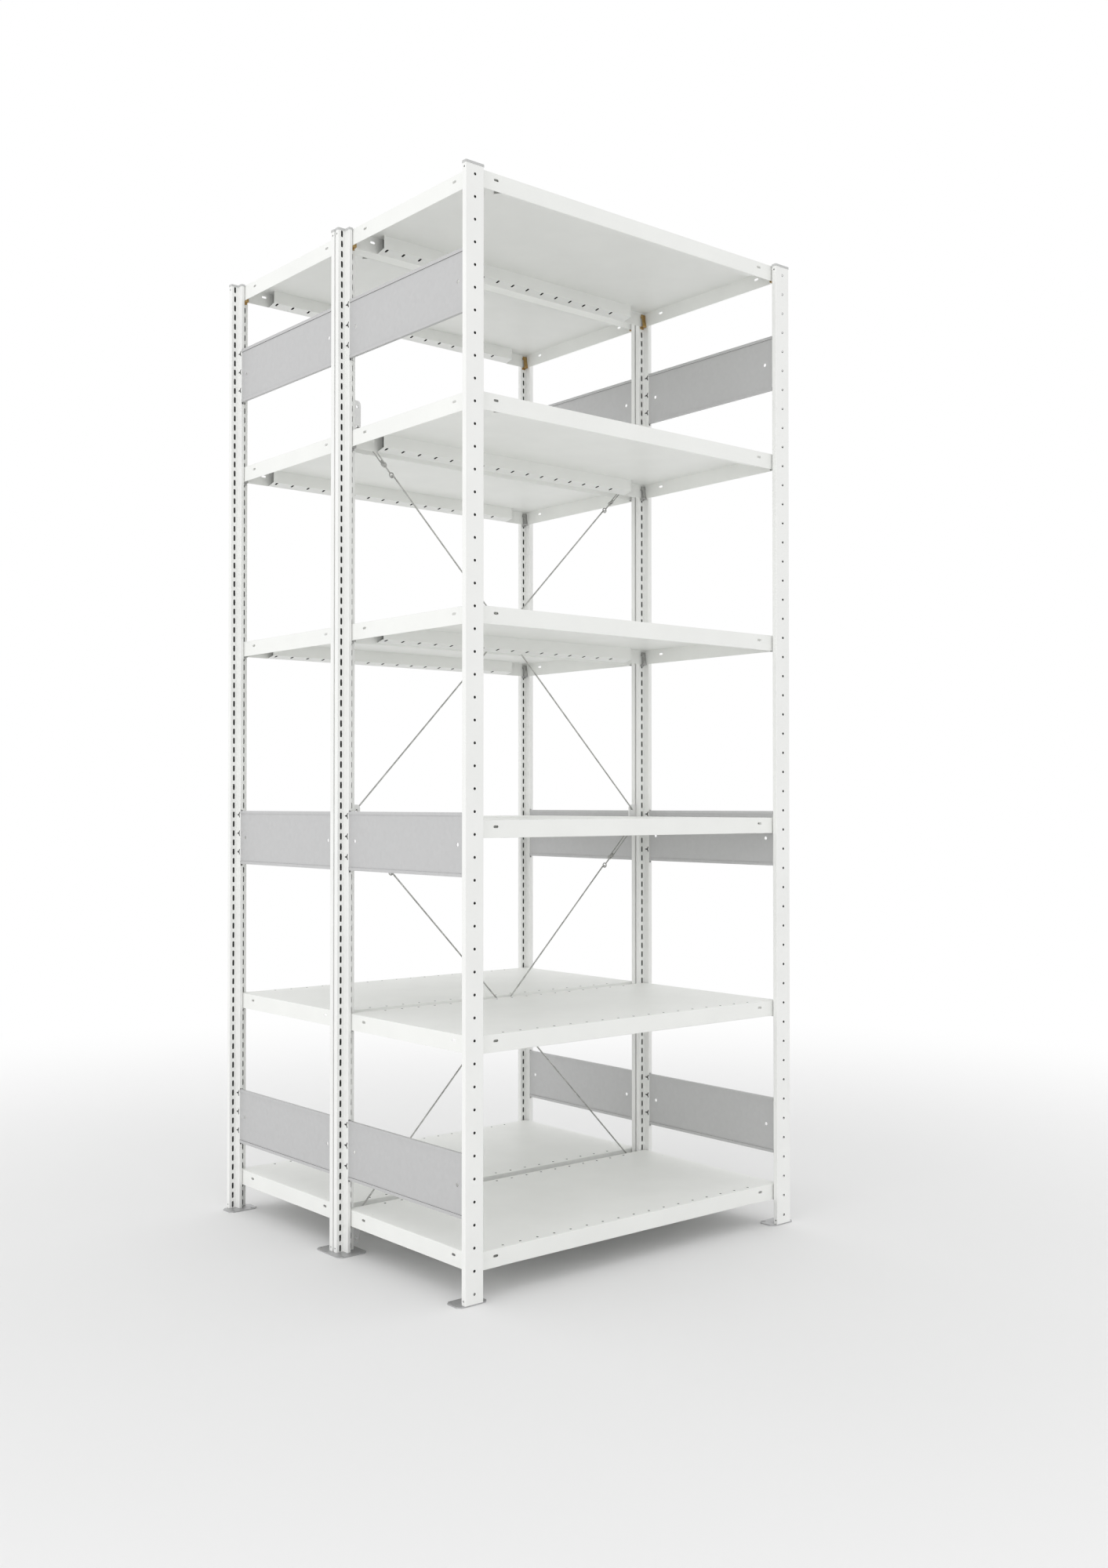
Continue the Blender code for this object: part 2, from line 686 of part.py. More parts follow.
def make_braces(rod_material, link_material):
    """Two crosses of two braces; a brace that falls to the right passes in front of the one that rises."""
    fields = {"lower": BRACKET_CENTRES[:2], "upper": BRACKET_CENTRES[1:]}
    eye_play = EYE_RADIUS - EYE_WIRE / 2 - ROD_DIAMETER / 2 - FIT
    flat_reach = BRACKET_HOLE_DIAMETER / 2 * math.cos(math.pi / HOLE_SIDES)
    hole_play = flat_reach - ROD_DIAMETER / 2 - FIT
    for field, (lower_centre, upper_centre) in fields.items():
        for lean, start_sign in {"falling": -1, "rising": 1}.items():
            hung, held, along = brace_frame(start_sign, lower_centre, upper_centre)
            across = Vector((0, start_sign, 0))
            eye = hung + along * (LOOP_PLAY + EYE_DISTANCE)
            points = rod_points(eye + along * eye_play, held - along * hole_play, along, across)
            rod = tube(points, ROD_DIAMETER, ROD_SIDES)
            smooth(rod)
            add_node(f"brace_rod_{field}_{lean}", rod, rod_material)
            link = tensioner_mesh(hung + along * LOOP_PLAY, along)
            smooth(link)
            add_node(f"brace_tensioner_{field}_{lean}", link, link_material)


def main():
    clear_scene()
    white = make_material("white_powder_coat", (0.82, 0.83, 0.80), 0.45, 0.0)
    shelf_white = make_material("shelf_powder_coat", (0.80, 0.81, 0.78), 0.45, 0.0)
    zinc = make_material("galvanised_sheet", (0.56, 0.56, 0.57), 0.40, 0.8)
    plate_zinc = make_material("galvanised_plate", (0.50, 0.50, 0.51), 0.45, 0.8)
    wire_zinc = make_material("zinc_wire", (0.45, 0.45, 0.43), 0.40, 0.9)
    link_zinc = make_material("zinc_link", (0.40, 0.40, 0.38), 0.40, 0.9)
    bracket_zinc = make_material("zinc_bracket", (0.62, 0.62, 0.62), 0.40, 0.8)
    grey_plastic = make_material("grey_plastic", (0.55, 0.55, 0.55), 0.55, 0.0)
    make_uprights(white)
    make_caps(grey_plastic)
    make_foot_plates(plate_zinc)
    make_shelves(shelf_white)
    make_end_panels(zinc)
    make_brackets(bracket_zinc)
    make_braces(wire_zinc, link_zinc)


main()
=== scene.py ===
"""Looks of a double-sided shelving unit, built round its packed CAD frame.

Metres, +Z up, in the CAD frame: X along the shelves, Y from the front bay to the rear bay, the origin on
the floor in the middle of the unit. Folded pieces start as a flat pattern: a grid of cells with holes and
slots punched in it, which is then carried round the bends of the sheet.
"""

import math

import bpy
import numpy as np
from bpy.props import FloatProperty, FloatVectorProperty, PointerProperty
from mathutils import Matrix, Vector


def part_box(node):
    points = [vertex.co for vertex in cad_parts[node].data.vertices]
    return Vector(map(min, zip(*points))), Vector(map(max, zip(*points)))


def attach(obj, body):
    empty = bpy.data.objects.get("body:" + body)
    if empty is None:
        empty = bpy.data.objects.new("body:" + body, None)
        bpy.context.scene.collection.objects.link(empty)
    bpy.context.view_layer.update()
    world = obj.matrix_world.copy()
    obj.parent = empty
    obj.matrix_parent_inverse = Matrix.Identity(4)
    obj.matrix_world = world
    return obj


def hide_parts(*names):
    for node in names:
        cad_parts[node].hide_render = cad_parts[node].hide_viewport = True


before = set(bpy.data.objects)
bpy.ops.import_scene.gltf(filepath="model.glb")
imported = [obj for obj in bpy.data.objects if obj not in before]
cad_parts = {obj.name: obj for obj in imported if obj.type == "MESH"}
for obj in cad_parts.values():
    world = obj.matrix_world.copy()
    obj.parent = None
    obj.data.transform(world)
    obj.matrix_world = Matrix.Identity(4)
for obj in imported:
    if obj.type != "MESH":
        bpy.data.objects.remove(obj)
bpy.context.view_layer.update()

bl_info = {
    "name": "Double-sided shelving unit",
    "version": (1, 0, 0),
    "blender": (4, 5, 0),
    "location": "View3D > Sidebar > Shelving",
    "description": "Finished pieces, materials and stage of a double-sided shelving unit",
    "category": "Object",
}

BAYS = {"front": -1, "rear": 1}
ENDS = {"left": -1, "right": 1}
LEVELS = range(1, 7)
# Numbers of the end panels of a frame and of the brackets at an end, from the floor up
HEIGHTS = (1, 2, 3)

# Steps round a bend of sheet, and points round a punched hole
BEND_STEPS = 3
RIM_POINTS = 16
# Edges with a sharper angle than this stay sharp
SHARP = math.radians(35.0)
# Positions closer than this are the same
NEAR = 1e-6
# How deep a pressed mark is seated in its sheet, and the softened edge of small solid parts
SEAT = 0.00002
SOFT_EDGE = 0.0004
# Roundness of a cap's outline at the stem's end, as a share of its other corners'
STEM_END_ROUND = 0.6
WHITE = (1.0, 1.0, 1.0, 1.0)


# ---------------------------------------------------------------- sizes and colours


def length(name, description, default):
    return FloatProperty(
        name=name, description=description, default=default, unit="LENGTH", precision=5, min=0.0
    )


def share(name, description, default):
    return FloatProperty(
        name=name, description=description, default=default, subtype="FACTOR", min=0.0, max=1.0
    )


def angle(name, description, degrees):
    return FloatProperty(name=name, description=description, default=math.radians(degrees), subtype="ANGLE")


def place(name, description, default):
    return FloatVectorProperty(
        name=name, description=description, default=default, subtype="TRANSLATION", size=3
    )


def colour(name, description, default):
    return FloatVectorProperty(
        name=name, description=description, default=default, subtype="COLOR", size=3, min=0.0, max=1.0
    )


class PostSettings(bpy.types.PropertyGroup):
    """Sizes of the punched uprights and their caps"""

    sheet: length("Sheet", "Thickness of the folded sheet", 0.0015)
    bend: length("Bend", "Outer radius of each bend", 0.0020)
    head_width: length("Head width", "Width of the wide head", 0.050)
    head_depth: length("Head depth", "Depth of the wide head", 0.014)
    stem_width: length("Stem width", "Width of the narrow stem", 0.010)
    section_depth: length("Section depth", "Depth of head and stem together", 0.032)
    stem_gap: length("Stem gap", "Half the gap between the returns that close the stem", 0.0001)
    pitch: length("Pitch", "Step of the punching up the upright", 0.025)
    slot_offset: length("Slot offset", "From the middle of the head to the slots", 0.0143)
    slot_width: length("Slot width", "Width of a slot in the shoulders", 0.0060)
    slot_length: length("Slot length", "Length of a slot in the shoulders", 0.0165)
    hole: length("Hole", "Diameter of the round holes in the face", 0.0065)
    side_hole: length("Side hole", "Diameter of the holes at the ends of both wings", 0.0046)
    side_hole_depth: length("Side hole depth", "From the face to the holes in the wings", 0.0065)
    cap_round: length("Cap round", "Radius of the cap's upper edge", 0.0007)
    cap_fit: length("Cap fit", "Between an upright and its cap", 0.0003)
    cap_wall: length("Cap wall", "Thickness of a cap's skirt", 0.0006)
    least_round: length("Least round", "Smallest radius in a cap's outline", 0.0004)
    clinch: length("Clinch arm", "Length of each arm of a pressed star on the stem", 0.0088)
    clinch_height: length("Clinch height", "How far a star stands out of the stem", 0.0002)
    clinch_depth: length("Clinch depth", "From the stem's end to a star's middle", 0.0062)
    clinch_drop: length("Clinch drop", "From a panel's upper edge to its first star", 0.0105)
    clinch_pitch: length("Clinch pitch", "Step of a panel's stars", 0.050)


class ClipSettings(bpy.types.PropertyGroup):
    """Sizes of the shelf clips"""

    sheet: length("Sheet", "Thickness of a clip", 0.0015)
    bend: length("Bend", "Outer radius of a clip's bends", 0.0020)
    apron: length("Apron", "How far a clip reaches below the lip", 0.0063)
    setback: length("Setback", "From the shoulder to the foot of the tongue behind the lip", 0.0105)
    lean: length("Lean", "How far the tongue's top leans towards the lip", 0.0050)
    tongue: length("Tongue", "How far the tongue reaches above the lip's lower edge", 0.0335)
    waist: length("Waist", "Narrowest width of the tongue", 0.0125)
    top: length("Top", "Width of the tongue's top", 0.0160)
    ear: length("Ear", "How far the ear stands out of the waist", 0.0040)
    play: length("Play", "Between the upright's shoulder and the apron", 0.0001)
    fit: length("Fit", "Between a clip and the lip that it carries", 0.0003)


class TraySettings(bpy.types.PropertyGroup):
    """Sizes of the pressed shelves"""

    sheet: length("Sheet", "Thickness of the pressed sheet", 0.0010)
    bend: length("Bend", "Outer radius of each bend", 0.0016)
    flange: length("Flange", "Width of the return flange under each long lip", 0.030)
    flange_rise: length("Flange rise", "How far the flange rises from the lip to the web behind it", 0.0066)
    flange_cut: length("Flange cut", "How far flange and web stop short of the shelf's ends", 0.081)
    slot_length: length("Slot length", "Length of the slots in the lips", 0.014)
    slot_width: length("Slot width", "Width of the slots in the lips", 0.006)
    slot_drop: length("Slot drop", "From the deck to the middle of the lip slots", 0.015)
    slot_from_end: length("Slot from end", "From the shelf's end to the slots of the long lips", 0.066)
    slot_from_side: length("Slot from side", "From the shelf's side to the slots of the end lips", 0.068)
    deck_hole: length("Deck hole", "Diameter of the row of holes along each long side", 0.0060)
    deck_pitch: length("Deck pitch", "Step of the rows of holes", 0.050)
    deck_hole_inset: length("Deck hole inset", "From the long side to its row of holes", 0.015)
    corner_hole: length("Corner hole", "Diameter of the small holes near the ends", 0.0030)
    corner_hole_inset: length("Corner hole inset", "From the shelf's end to the small holes", 0.0145)
    corner_hole_reach: length("Corner hole reach", "From the middle line to the small holes", 0.165)
    flange_slot_length: length("Flange slot length", "Length of the slots across the back flange", 0.0135)
    flange_slot_width: length("Flange slot width", "Width of the slots across the back flange", 0.0060)
    flange_slot_inset: length("Flange slot inset", "From the back edge to the middle of those slots", 0.0225)
    flange_slot_shift: length("Flange slot shift", "How far those slots are to the left of the holes", 0.004)


class FittingSettings(bpy.types.PropertyGroup):
    """Sizes of the end panels, foot plates and bracing"""

    panel_sheet: length("Panel sheet", "Thickness of an end panel", 0.0012)
    panel_bend: length("Panel bend", "Outer radius of a panel's folded edges", 0.0018)
    panel_hole: length("Panel hole", "Diameter of the hole near each end of a panel", 0.009)
    panel_hole_from_end: length("Panel hole from end", "From a panel's end to its hole", 0.0385)
    panel_grip: length("Panel grip", "How far a panel's ends reach into the stems", 0.0125)
    hem: length("Hem", "Width of the flat hem along each long edge of a panel", 0.0075)
    hem_sheet: length("Hem sheet", "Thickness of that hem", 0.0014)
    chamfer: length("Chamfer", "Corner cut off a foot plate", 0.009)
    anchor: length("Anchor hole", "Diameter of the anchor holes", 0.006)
    anchor_slot: length("Anchor slot", "Length of the slanted anchor slot", 0.012)
    anchor_offset: length("Anchor offset", "From the upright's middle to the anchor holes", 0.028)
    anchor_inset: length("Anchor inset", "From the plate's edge to the anchor holes", 0.0065)
    plate: length("Plate", "Thickness of a foot plate", 0.003)
    tab_width: length("Tab width", "Width of the tab inside an upright", 0.036)
    tab_sheet: length("Tab sheet", "Thickness of the tab", 0.002)
    tab_depth: length("Tab depth", "From the upright's face to the middle of the tab", 0.0028)
    bracket_corner: length("Bracket corner", "Radius of a bracket's corners", 0.010)
    bracket_hole: length("Bracket hole", "Diameter of a bracket's holes", 0.008)
    bracket_reach: length("Bracket reach", "From the upright's middle to the bracket's holes", 0.040)
    bracket_spacing: length("Bracket spacing", "Between the two holes of a bracket", 0.050)
    rod: length("Rod", "Diameter of the brace rods", 0.004)
    rod_offset: length("Rod offset", "From the middle of the gap to a rod", 0.0046)
    rod_bend: length("Rod bend", "Radius of a rod's bent ends", 0.003)
    peg: length("Peg", "How far a rod's end reaches past the middle of the gap", 0.004)
    loop_wire: length("Loop wire", "Diameter of a tensioner's wire loop", 0.003)
    loop_half: length("Loop half width", "From the middle of a loop to its strands", 0.006)
    loop_play: length("Loop play", "From the bracket hole's middle to the loop's turn", 0.0012)
    loop_length: length("Loop length", "Length of a wire loop", 0.115)
    eye_stem: length("Eye stem", "Diameter of the eye's threaded stem", 0.004)
    eye_distance: length("Eye distance", "From the loop's turn to the eye's middle", 0.1466)
    eye_radius: length("Eye radius", "Radius of the eye's wire circle", 0.006)
    eye_wire: length("Eye wire", "Diameter of the eye's wire", 0.003)
    nut_wall: length("Nut wall", "How far the nut reaches past the loop's strands", 0.0003)
    lock_distance: length("Lock distance", "From the nut's middle to the lock nut's", 0.0062)
    stem_overlap: length("Stem overlap", "How far the threaded stem reaches into the loop", 0.014)
    fit: length("Fit", "Between a rod and the wire or hole that holds it", 0.0003)


class FinishSettings(bpy.types.PropertyGroup):
    """Colours of the finishes"""

    post_white: colour("Uprights", "Powder coat of the uprights", (0.890, 0.895, 0.878))
    # Painted shade: this near-black colour stands for the shade inside the uprights and the shelves' folds.
    inside: colour("Insides", "Thin coat inside the uprights and the shelves' folds", (0.085, 0.086, 0.084))
    tray_white: colour("Shelves", "Powder coat of the shelves", (0.886, 0.894, 0.870))
    coat_roughness: share("Coat roughness", "Mean roughness of the powder coat", 0.42)
    zinc_sheet: colour("End panels", "Galvanised sheet", (0.560, 0.561, 0.563))
    # Partly the bare cut steel of the hems' edges, partly painted shade of the gap under each hem.
    raw_edge_and_painted_shade: colour("Raw edges", "Cut edges of the end panels' hems", (0.060, 0.060, 0.060))
    zinc_plate: colour("Foot plates", "Galvanised plate", (0.500, 0.502, 0.506))
    zinc_bracket: colour("Brackets", "Bright zinc of the brackets", (0.800, 0.802, 0.796))
    zinc_wire: colour("Wires", "Zinc of rods and tensioners", (0.460, 0.460, 0.445))
    clip_steel: colour("Clips", "Bare steel of the shelf clips", (0.430, 0.430, 0.425))
    clip_brass: colour("Top clips", "Yellow zinc of the clips at the top level", (0.420, 0.250, 0.085))
    cap_grey: colour("Caps", "Grey plastic of the caps", (0.560, 0.565, 0.560))
    # Painted shade: this near-black colour on the stars stands for the shade in the pressed dents.
    star_painted_shade: colour("Clinches", "Bare metal of the pressed stars", (0.060, 0.060, 0.059))


class StageSettings(bpy.types.PropertyGroup):
    """The floor, the light and the camera"""

    floor: colour("Floor", "Colour of the floor near the object", (0.860, 0.860, 0.860))
    fade_start: length("Fade start", "Distance at which the floor starts to fade to white", 1.2)
    fade_end: length("Fade end", "Distance at which the floor is white", 4.0)
    ambient: FloatProperty(
        name="Ambient", description="Strength of the even light all round", default=0.97, min=0.0
    )
    side_lamp: FloatProperty(
        name="Side lamp",
        description="Power of the large soft lamp on the left",
        default=370.0,
        min=0.0,
        unit="POWER",
    )
    lamp_width: length("Lamp width", "Width of that lamp", 10.0)
    lamp_height: length("Lamp height", "Height of that lamp", 7.0)
    lamp_place: place("Lamp place", "Where that lamp stands", (-13.0, -2.8, 1.6))
    lamp_target: place("Lamp target", "What that lamp is turned to", (0.0, 0.0, 1.1))
    floor_half: length("Floor", "From the middle of the floor to its edges", 60.0)
    focal: FloatProperty(
        name="Focal length", description="Focal length, in millimetres", default=35.246, min=1.0
    )
    camera_yaw: angle("Yaw", "Heading of the camera from +X", 49.887)
    camera_pitch: angle("Pitch", "Tilt of the camera above level", 0.738)
    camera_place: place("Place", "Where the camera stands", (-2.53175, -3.21215, 1.092))


# ---------------------------------------------------------------- shapes


def folded_section(corners, sheet, bend, steps=BEND_STEPS):
    """Stations along a sheet folded through square corners, with the sheet on the right of its outer line.

    Each corner becomes a quarter circle about one centre for both sides of the sheet. The centre lies at the
    corner, less the outer radius along the way in, plus the outer radius along the way out. A point of the arc
    is the centre plus radius times (way in times sine, less way out times cosine). The outer radius is the bend
    where the line turns right, and the bend less the sheet where it turns left; the inner radius is the other.
    Distance counts the flats at full length and each arc at its mean radius, from the middle of the section.
    """
    corners = np.asarray(corners, float)
    ways = np.diff(corners, axis=0)
    lengths = np.linalg.norm(ways, axis=1)
    ways = ways / lengths[:, None]
    away = np.stack([-ways[:, 1], ways[:, 0]], axis=1)
    distance, from_corner = [0.0], [0.0]
    outer, inner, normal = [corners[0]], [corners[0] - sheet * away[0]], [away[0]]
    trim = 0.0
    angles = np.linspace(0, math.pi / 2, steps + 1)[:, None]
    for index in range(1, len(corners) - 1):
        way_in, way_out = ways[index - 1], ways[index]
        right_turn = way_in[0] * way_out[1] - way_in[1] * way_out[0] < 0
        outside, inside = (bend, bend - sheet) if right_turn else (bend - sheet, bend)
        centre = corners[index] - outside * way_in + outside * way_out
        spokes = way_in * np.sin(angles) - way_out * np.cos(angles)
        start = distance[-1] + lengths[index - 1] - trim - outside
        arc = angles[:, 0] * (outside + inside) / 2
        distance.extend(start + arc)
        outer.extend(centre + outside * spokes)
        inner.extend(centre + inside * spokes)
        normal.extend(spokes if right_turn else -spokes)
        from_corner.append(distance[-1] - outside)
        trim = outside
    distance.append(distance[-1] + lengths[-1] - trim)
    outer.append(corners[-1])
    inner.append(corners[-1] - sheet * away[-1])
    normal.append(away[-1])
    middle = distance[-1] / 2
    return {
        "distance": np.array(distance) - middle,
        "outer": np.array(outer),
        "inner": np.array(inner),
        "normal": np.array(normal),
        "from_corner": np.array(from_corner) - middle,
    }


def unit(vectors):
    """The same directions at length one."""
    return vectors / np.maximum(np.linalg.norm(vectors, axis=1, keepdims=True), 1e-12)


def along_section(section, key, distance):
    """Values of one side of a section at some distances, straight between its stations."""
    values = section[key]
    return np.stack([np.interp(distance, section["distance"], values[:, axis]) for axis in (0, 1)], axis=-1)


def sheet_sides(section, distance):
    """Outer side, inner side and direction of a folded sheet at some distances."""
    return [along_section(section, key, distance) for key in ("outer", "inner", "normal")]


def grid_lines(*groups):
    """All the given positions once, in order."""
    return np.unique(np.round(np.concatenate(groups), 9))


def nearest(lines, values):
    """Index of the line nearest to each value."""
    return abs(np.subtract.outer(np.atleast_1d(values), lines)).argmin(axis=1)


def foot_middle(low, high):
    """Middle of a box's lower face."""
    return np.array([(low.x + high.x) / 2, (low.y + high.y) / 2, low.z])


def rim(width, whole=None, turn=0.0):
    """Sixteen points round a hole: a circle, or a slot of a whole length along a turned direction.

    A point is the radius at its angle, plus half of what the slot is longer than wide, towards the side of the
    turned direction that it lies on; the two points square to that direction stay in the middle of the sides.
    """
    angle = 2 * math.pi * np.arange(RIM_POINTS) / RIM_POINTS
    side = np.cos(angle - turn)
    side = np.where(abs(side) < NEAR, 0.0, np.sign(side))[:, None]
    circle = width / 2 * np.stack([np.cos(angle), np.sin(angle)], axis=1)
    stretch = (whole or width) - width
    return circle + side * stretch / 2 * np.array([math.cos(turn), math.sin(turn)])


def block_border(cells):
    """Column and row offsets of the nodes round a square block of cells, from the middle of its right side."""
    steps = np.arange(cells)
    right = np.stack([np.full(cells, cells), steps], axis=1)
    top = np.stack([cells - steps, np.full(cells, cells)], axis=1)
    left = np.stack([np.zeros(cells, int), cells - steps], axis=1)
    bottom = np.stack([steps, np.zeros(cells, int)], axis=1)
    return np.roll(np.concatenate([right, top, left, bottom]), -(cells // 2), axis=0)


def punched_pattern(across, along, cutouts=(), kept=None):
    """A flat pattern on a grid of nodes, with holes punched in blocks of two by two or four by four cells.

    A cutout is the lowest row and column of its blocks, their number of cells and the rim of the hole. Between
    a block's border and its hole lie ring faces: one per border node, with five corners in a small block (two
    border nodes and three of the rim) and four in a large one. Returns points, corners and sizes.
    """
    rows, columns = across.shape
    grid = np.arange(rows * columns).reshape(rows, columns)
    nodes = np.stack([across.ravel(), along.ravel()], axis=1)
    kept = np.ones((rows - 1, columns - 1), bool) if kept is None else kept.copy()
    points, corners, sizes = [nodes], [], []
    count = len(nodes)
    for low_rows, low_columns, cells, outline in cutouts:
        low_rows, low_columns = (part.ravel() for part in np.broadcast_arrays(low_rows, low_columns))
        border = block_border(cells)
        ring = grid[low_rows[:, None] + border[:, 1], low_columns[:, None] + border[:, 0]]
        centre = nodes[grid[low_rows + cells // 2, low_columns + cells // 2]]
        points.append((centre[:, None, :] + outline).reshape(-1, 2))
        hole = count + np.arange(len(low_rows) * RIM_POINTS).reshape(-1, RIM_POINTS)
        count += hole.size
        after = np.roll(ring, -1, axis=1)
        if cells == 2:
            here = hole[:, 0::2]
            faces = np.stack([ring, after, np.roll(here, -1, axis=1), hole[:, 1::2], here], axis=2)
        else:
            faces = np.stack([ring, after, np.roll(hole, -1, axis=1), hole], axis=2)
        corners.append(faces.ravel())
        sizes.append(np.full(faces.shape[0] * faces.shape[1], faces.shape[2]))
        step = np.arange(cells)
        kept[low_rows[:, None, None] + step[:, None], low_columns[:, None, None] + step] = False
    cells = np.stack([grid[:-1, :-1], grid[:-1, 1:], grid[1:, 1:], grid[1:, :-1]], axis=-1)[kept]
    corners = np.concatenate([cells.ravel(), *corners])
    sizes = np.concatenate([np.full(len(cells), 4), *sizes])
    used, corners = np.unique(corners, return_inverse=True)
    return np.concatenate(points)[used], corners.ravel(), sizes


def reversed_corners(corners, sizes):
    """The same faces, each gone round the other way."""
    owner = np.repeat(np.arange(len(sizes)), sizes)
    starts = np.cumsum(sizes) - sizes
    return corners[2 * starts[owner] + sizes[owner] - 1 - np.arange(len(corners))]


def face_rings(sizes):
    """First corner of each face, and the corner that follows each corner round its face."""
    starts = np.cumsum(sizes) - sizes
    following = np.arange(np.sum(sizes)) + 1
    following[starts + sizes - 1] = starts
    return starts, following


def face_normals(points, corners, sizes):
    """Direction of each face: the sum of the cross products of its corners, one after another."""
    starts, following = face_rings(sizes)
    return unit(np.add.reduceat(np.cross(points[corners], points[corners[following]]), starts, axis=0))


def two_skins(corners, sizes, outer, inner, normal, painted_shade_nodes=False, painted_shade_edges=False):
    """Closed sheet between two skins: the outer faces, the inner ones turned round, and a wall along every
    edge that only one face uses. Returns points, corners, sizes, the direction at each corner, and 1 for each
    face of the inner skin whose nodes are all marked and each wall between two marked edge nodes: these faces
    take the second, dark material, which paints shade."""
    if face_normals(outer, corners, sizes)[0] @ normal[corners[0]] < 0:
        corners = reversed_corners(corners, sizes)
    count = len(outer)
    starts, following = face_rings(sizes)
    tail, head = corners, corners[following]
    free = ~np.isin(tail * count + head, head * count + tail)
    tail, head = tail[free], head[free]
    walls = np.stack([head, tail, tail + count, head + count], axis=1)
    back = reversed_corners(corners, sizes)
    # Painted shade: faces marked here take the dark second material.
    dark = np.minimum.reduceat(np.broadcast_to(painted_shade_nodes, count)[corners], starts)
    painted_shade_edges = np.broadcast_to(painted_shade_edges, count)
    points = np.concatenate([outer, inner])
    wall_sizes = np.full(len(walls), 4)
    wall_normal = np.repeat(face_normals(points, walls.ravel(), wall_sizes), 4, axis=0)
    return (
        points,
        np.concatenate([corners, back + count, walls.ravel()]),
        np.concatenate([sizes, sizes, wall_sizes]),
        np.concatenate([normal[corners], -normal[back], wall_normal]),
        np.concatenate([np.zeros(len(sizes)), dark, painted_shade_edges[tail] & painted_shade_edges[head]]),
    )


def lofted(rings, wraps=False):
    """Closed skin through rings of points: four-cornered faces between each ring and the next, and a flat end
    at both sides, or none where the last ring leads back to the first."""
    rings = np.asarray(rings, float)
    levels, count = rings.shape[:2]
    index = np.arange(levels * count).reshape(levels, count)
    after = np.roll(index, -1, axis=1)
    if wraps:
        low, high = index, np.roll(index, -1, axis=0)
        low_after, high_after = after, np.roll(after, -1, axis=0)
    else:
        low, high, low_after, high_after = index[:-1], index[1:], after[:-1], after[1:]
    corners = np.stack([low, low_after, high_after, high], axis=-1).ravel()
    sizes = np.full(len(corners) // 4, 4)
    if not wraps:
        corners = np.concatenate([corners, index[0, ::-1], index[-1]])
        sizes = np.concatenate([sizes, [count, count]])
    points = rings.reshape(-1, 3)
    directions = np.repeat(face_normals(points, corners, sizes), sizes, axis=0)
    if not wraps and np.sum((points[corners] - points.mean(axis=0)) * directions) < 0:
        corners = reversed_corners(corners, sizes)
    return points, corners, sizes


def rounded_outline(corners, radii, steps=BEND_STEPS):
    """Closed line through square corners, each replaced by a quarter circle of its own radius: the arc's centre
    is the corner less the radius along the way in plus the radius along the way out."""
    corners = np.asarray(corners, float)
    way_in = corners - np.roll(corners, 1, axis=0)
    way_in /= np.linalg.norm(way_in, axis=1, keepdims=True)
    way_out = np.roll(way_in, -1, axis=0)
    radii = np.asarray(radii, float)[:, None, None]
    angle = np.linspace(0, math.pi / 2, steps + 1)[None, :, None]
    spoke = way_in[:, None] * np.sin(angle) - way_out[:, None] * np.cos(angle)
    centre = corners[:, None] + radii * (way_out - way_in)[:, None]
    return (centre + radii * spoke).reshape(-1, 2)


def tube(path, radius, sideways, sides=10):
    """Closed round wire along a flat path. Its rings stand square to the path: each point is the path's point
    plus the radius times (sideways times cosine, plus the direction square to both times sine)."""
    path = np.asarray(path, float)
    ways = np.gradient(path, axis=0)
    ways /= np.linalg.norm(ways, axis=1, keepdims=True)
    sideways = np.asarray(sideways, float)
    lift = np.cross(ways, sideways)
    angle = 2 * math.pi * np.arange(sides) / sides
    spokes = sideways * np.cos(angle)[:, None] + lift[:, None] * np.sin(angle)[None, :, None]
    return lofted(path[:, None] + radius * spokes)


def torus(centre, first, second, radius, wire, turns=28, sides=10):
    """Closed ring: the centre plus, at each turn, the direction (first times cosine plus second times sine) times
    (radius plus wire times cosine), plus the direction square to both times wire times sine."""
    centre, first, second = (np.asarray(part, float) for part in (centre, first, second))
    turn = (2 * math.pi * np.arange(turns) / turns)[:, None, None]
    tilt = (2 * math.pi * np.arange(sides) / sides)[None, :, None]
    out = first * np.cos(turn) + second * np.sin(turn)
    rings = centre + out * (radius + wire * np.cos(tilt)) + np.cross(first, second) * wire * np.sin(tilt)
    points, corners, sizes = lofted(rings, wraps=True)
    outward = np.einsum("ij,ij->i", face_normals(points, corners, sizes)[:1], (points[:1] - centre))
    return points, (corners if outward[0] > 0 else reversed_corners(corners, sizes)), sizes


def rounded_bar(centre, axes, halves, edge):
    """Bar with softened edges: a rounded rectangle carried along the third axis, drawn in by the edge at both
    ends."""
    centre, axes = np.asarray(centre, float), np.asarray(axes, float)
    rings = []
    for inset, level in ((edge, -halves[2]), (0, edge - halves[2]), (0, halves[2] - edge), (edge, halves[2])):
        wide, deep = halves[0] - inset, halves[1] - inset
        corners = [(-wide, -deep), (wide, -deep), (wide, deep), (-wide, deep)]
        flat = rounded_outline(corners, [edge] * 4, steps=2)
        rings.append(centre + flat @ axes[:2] + level * axes[2])
    return lofted(rings)


def joined(parts):
    """Several shapes of three or five arrays as one."""
    offsets = np.cumsum([0] + [len(part[0]) for part in parts[:-1]])
    points = np.concatenate([part[0] for part in parts])
    corners = np.concatenate([part[1] + offset for part, offset in zip(parts, offsets)])
    return points, corners, *(np.concatenate(arrays) for arrays in list(zip(*parts))[2:])


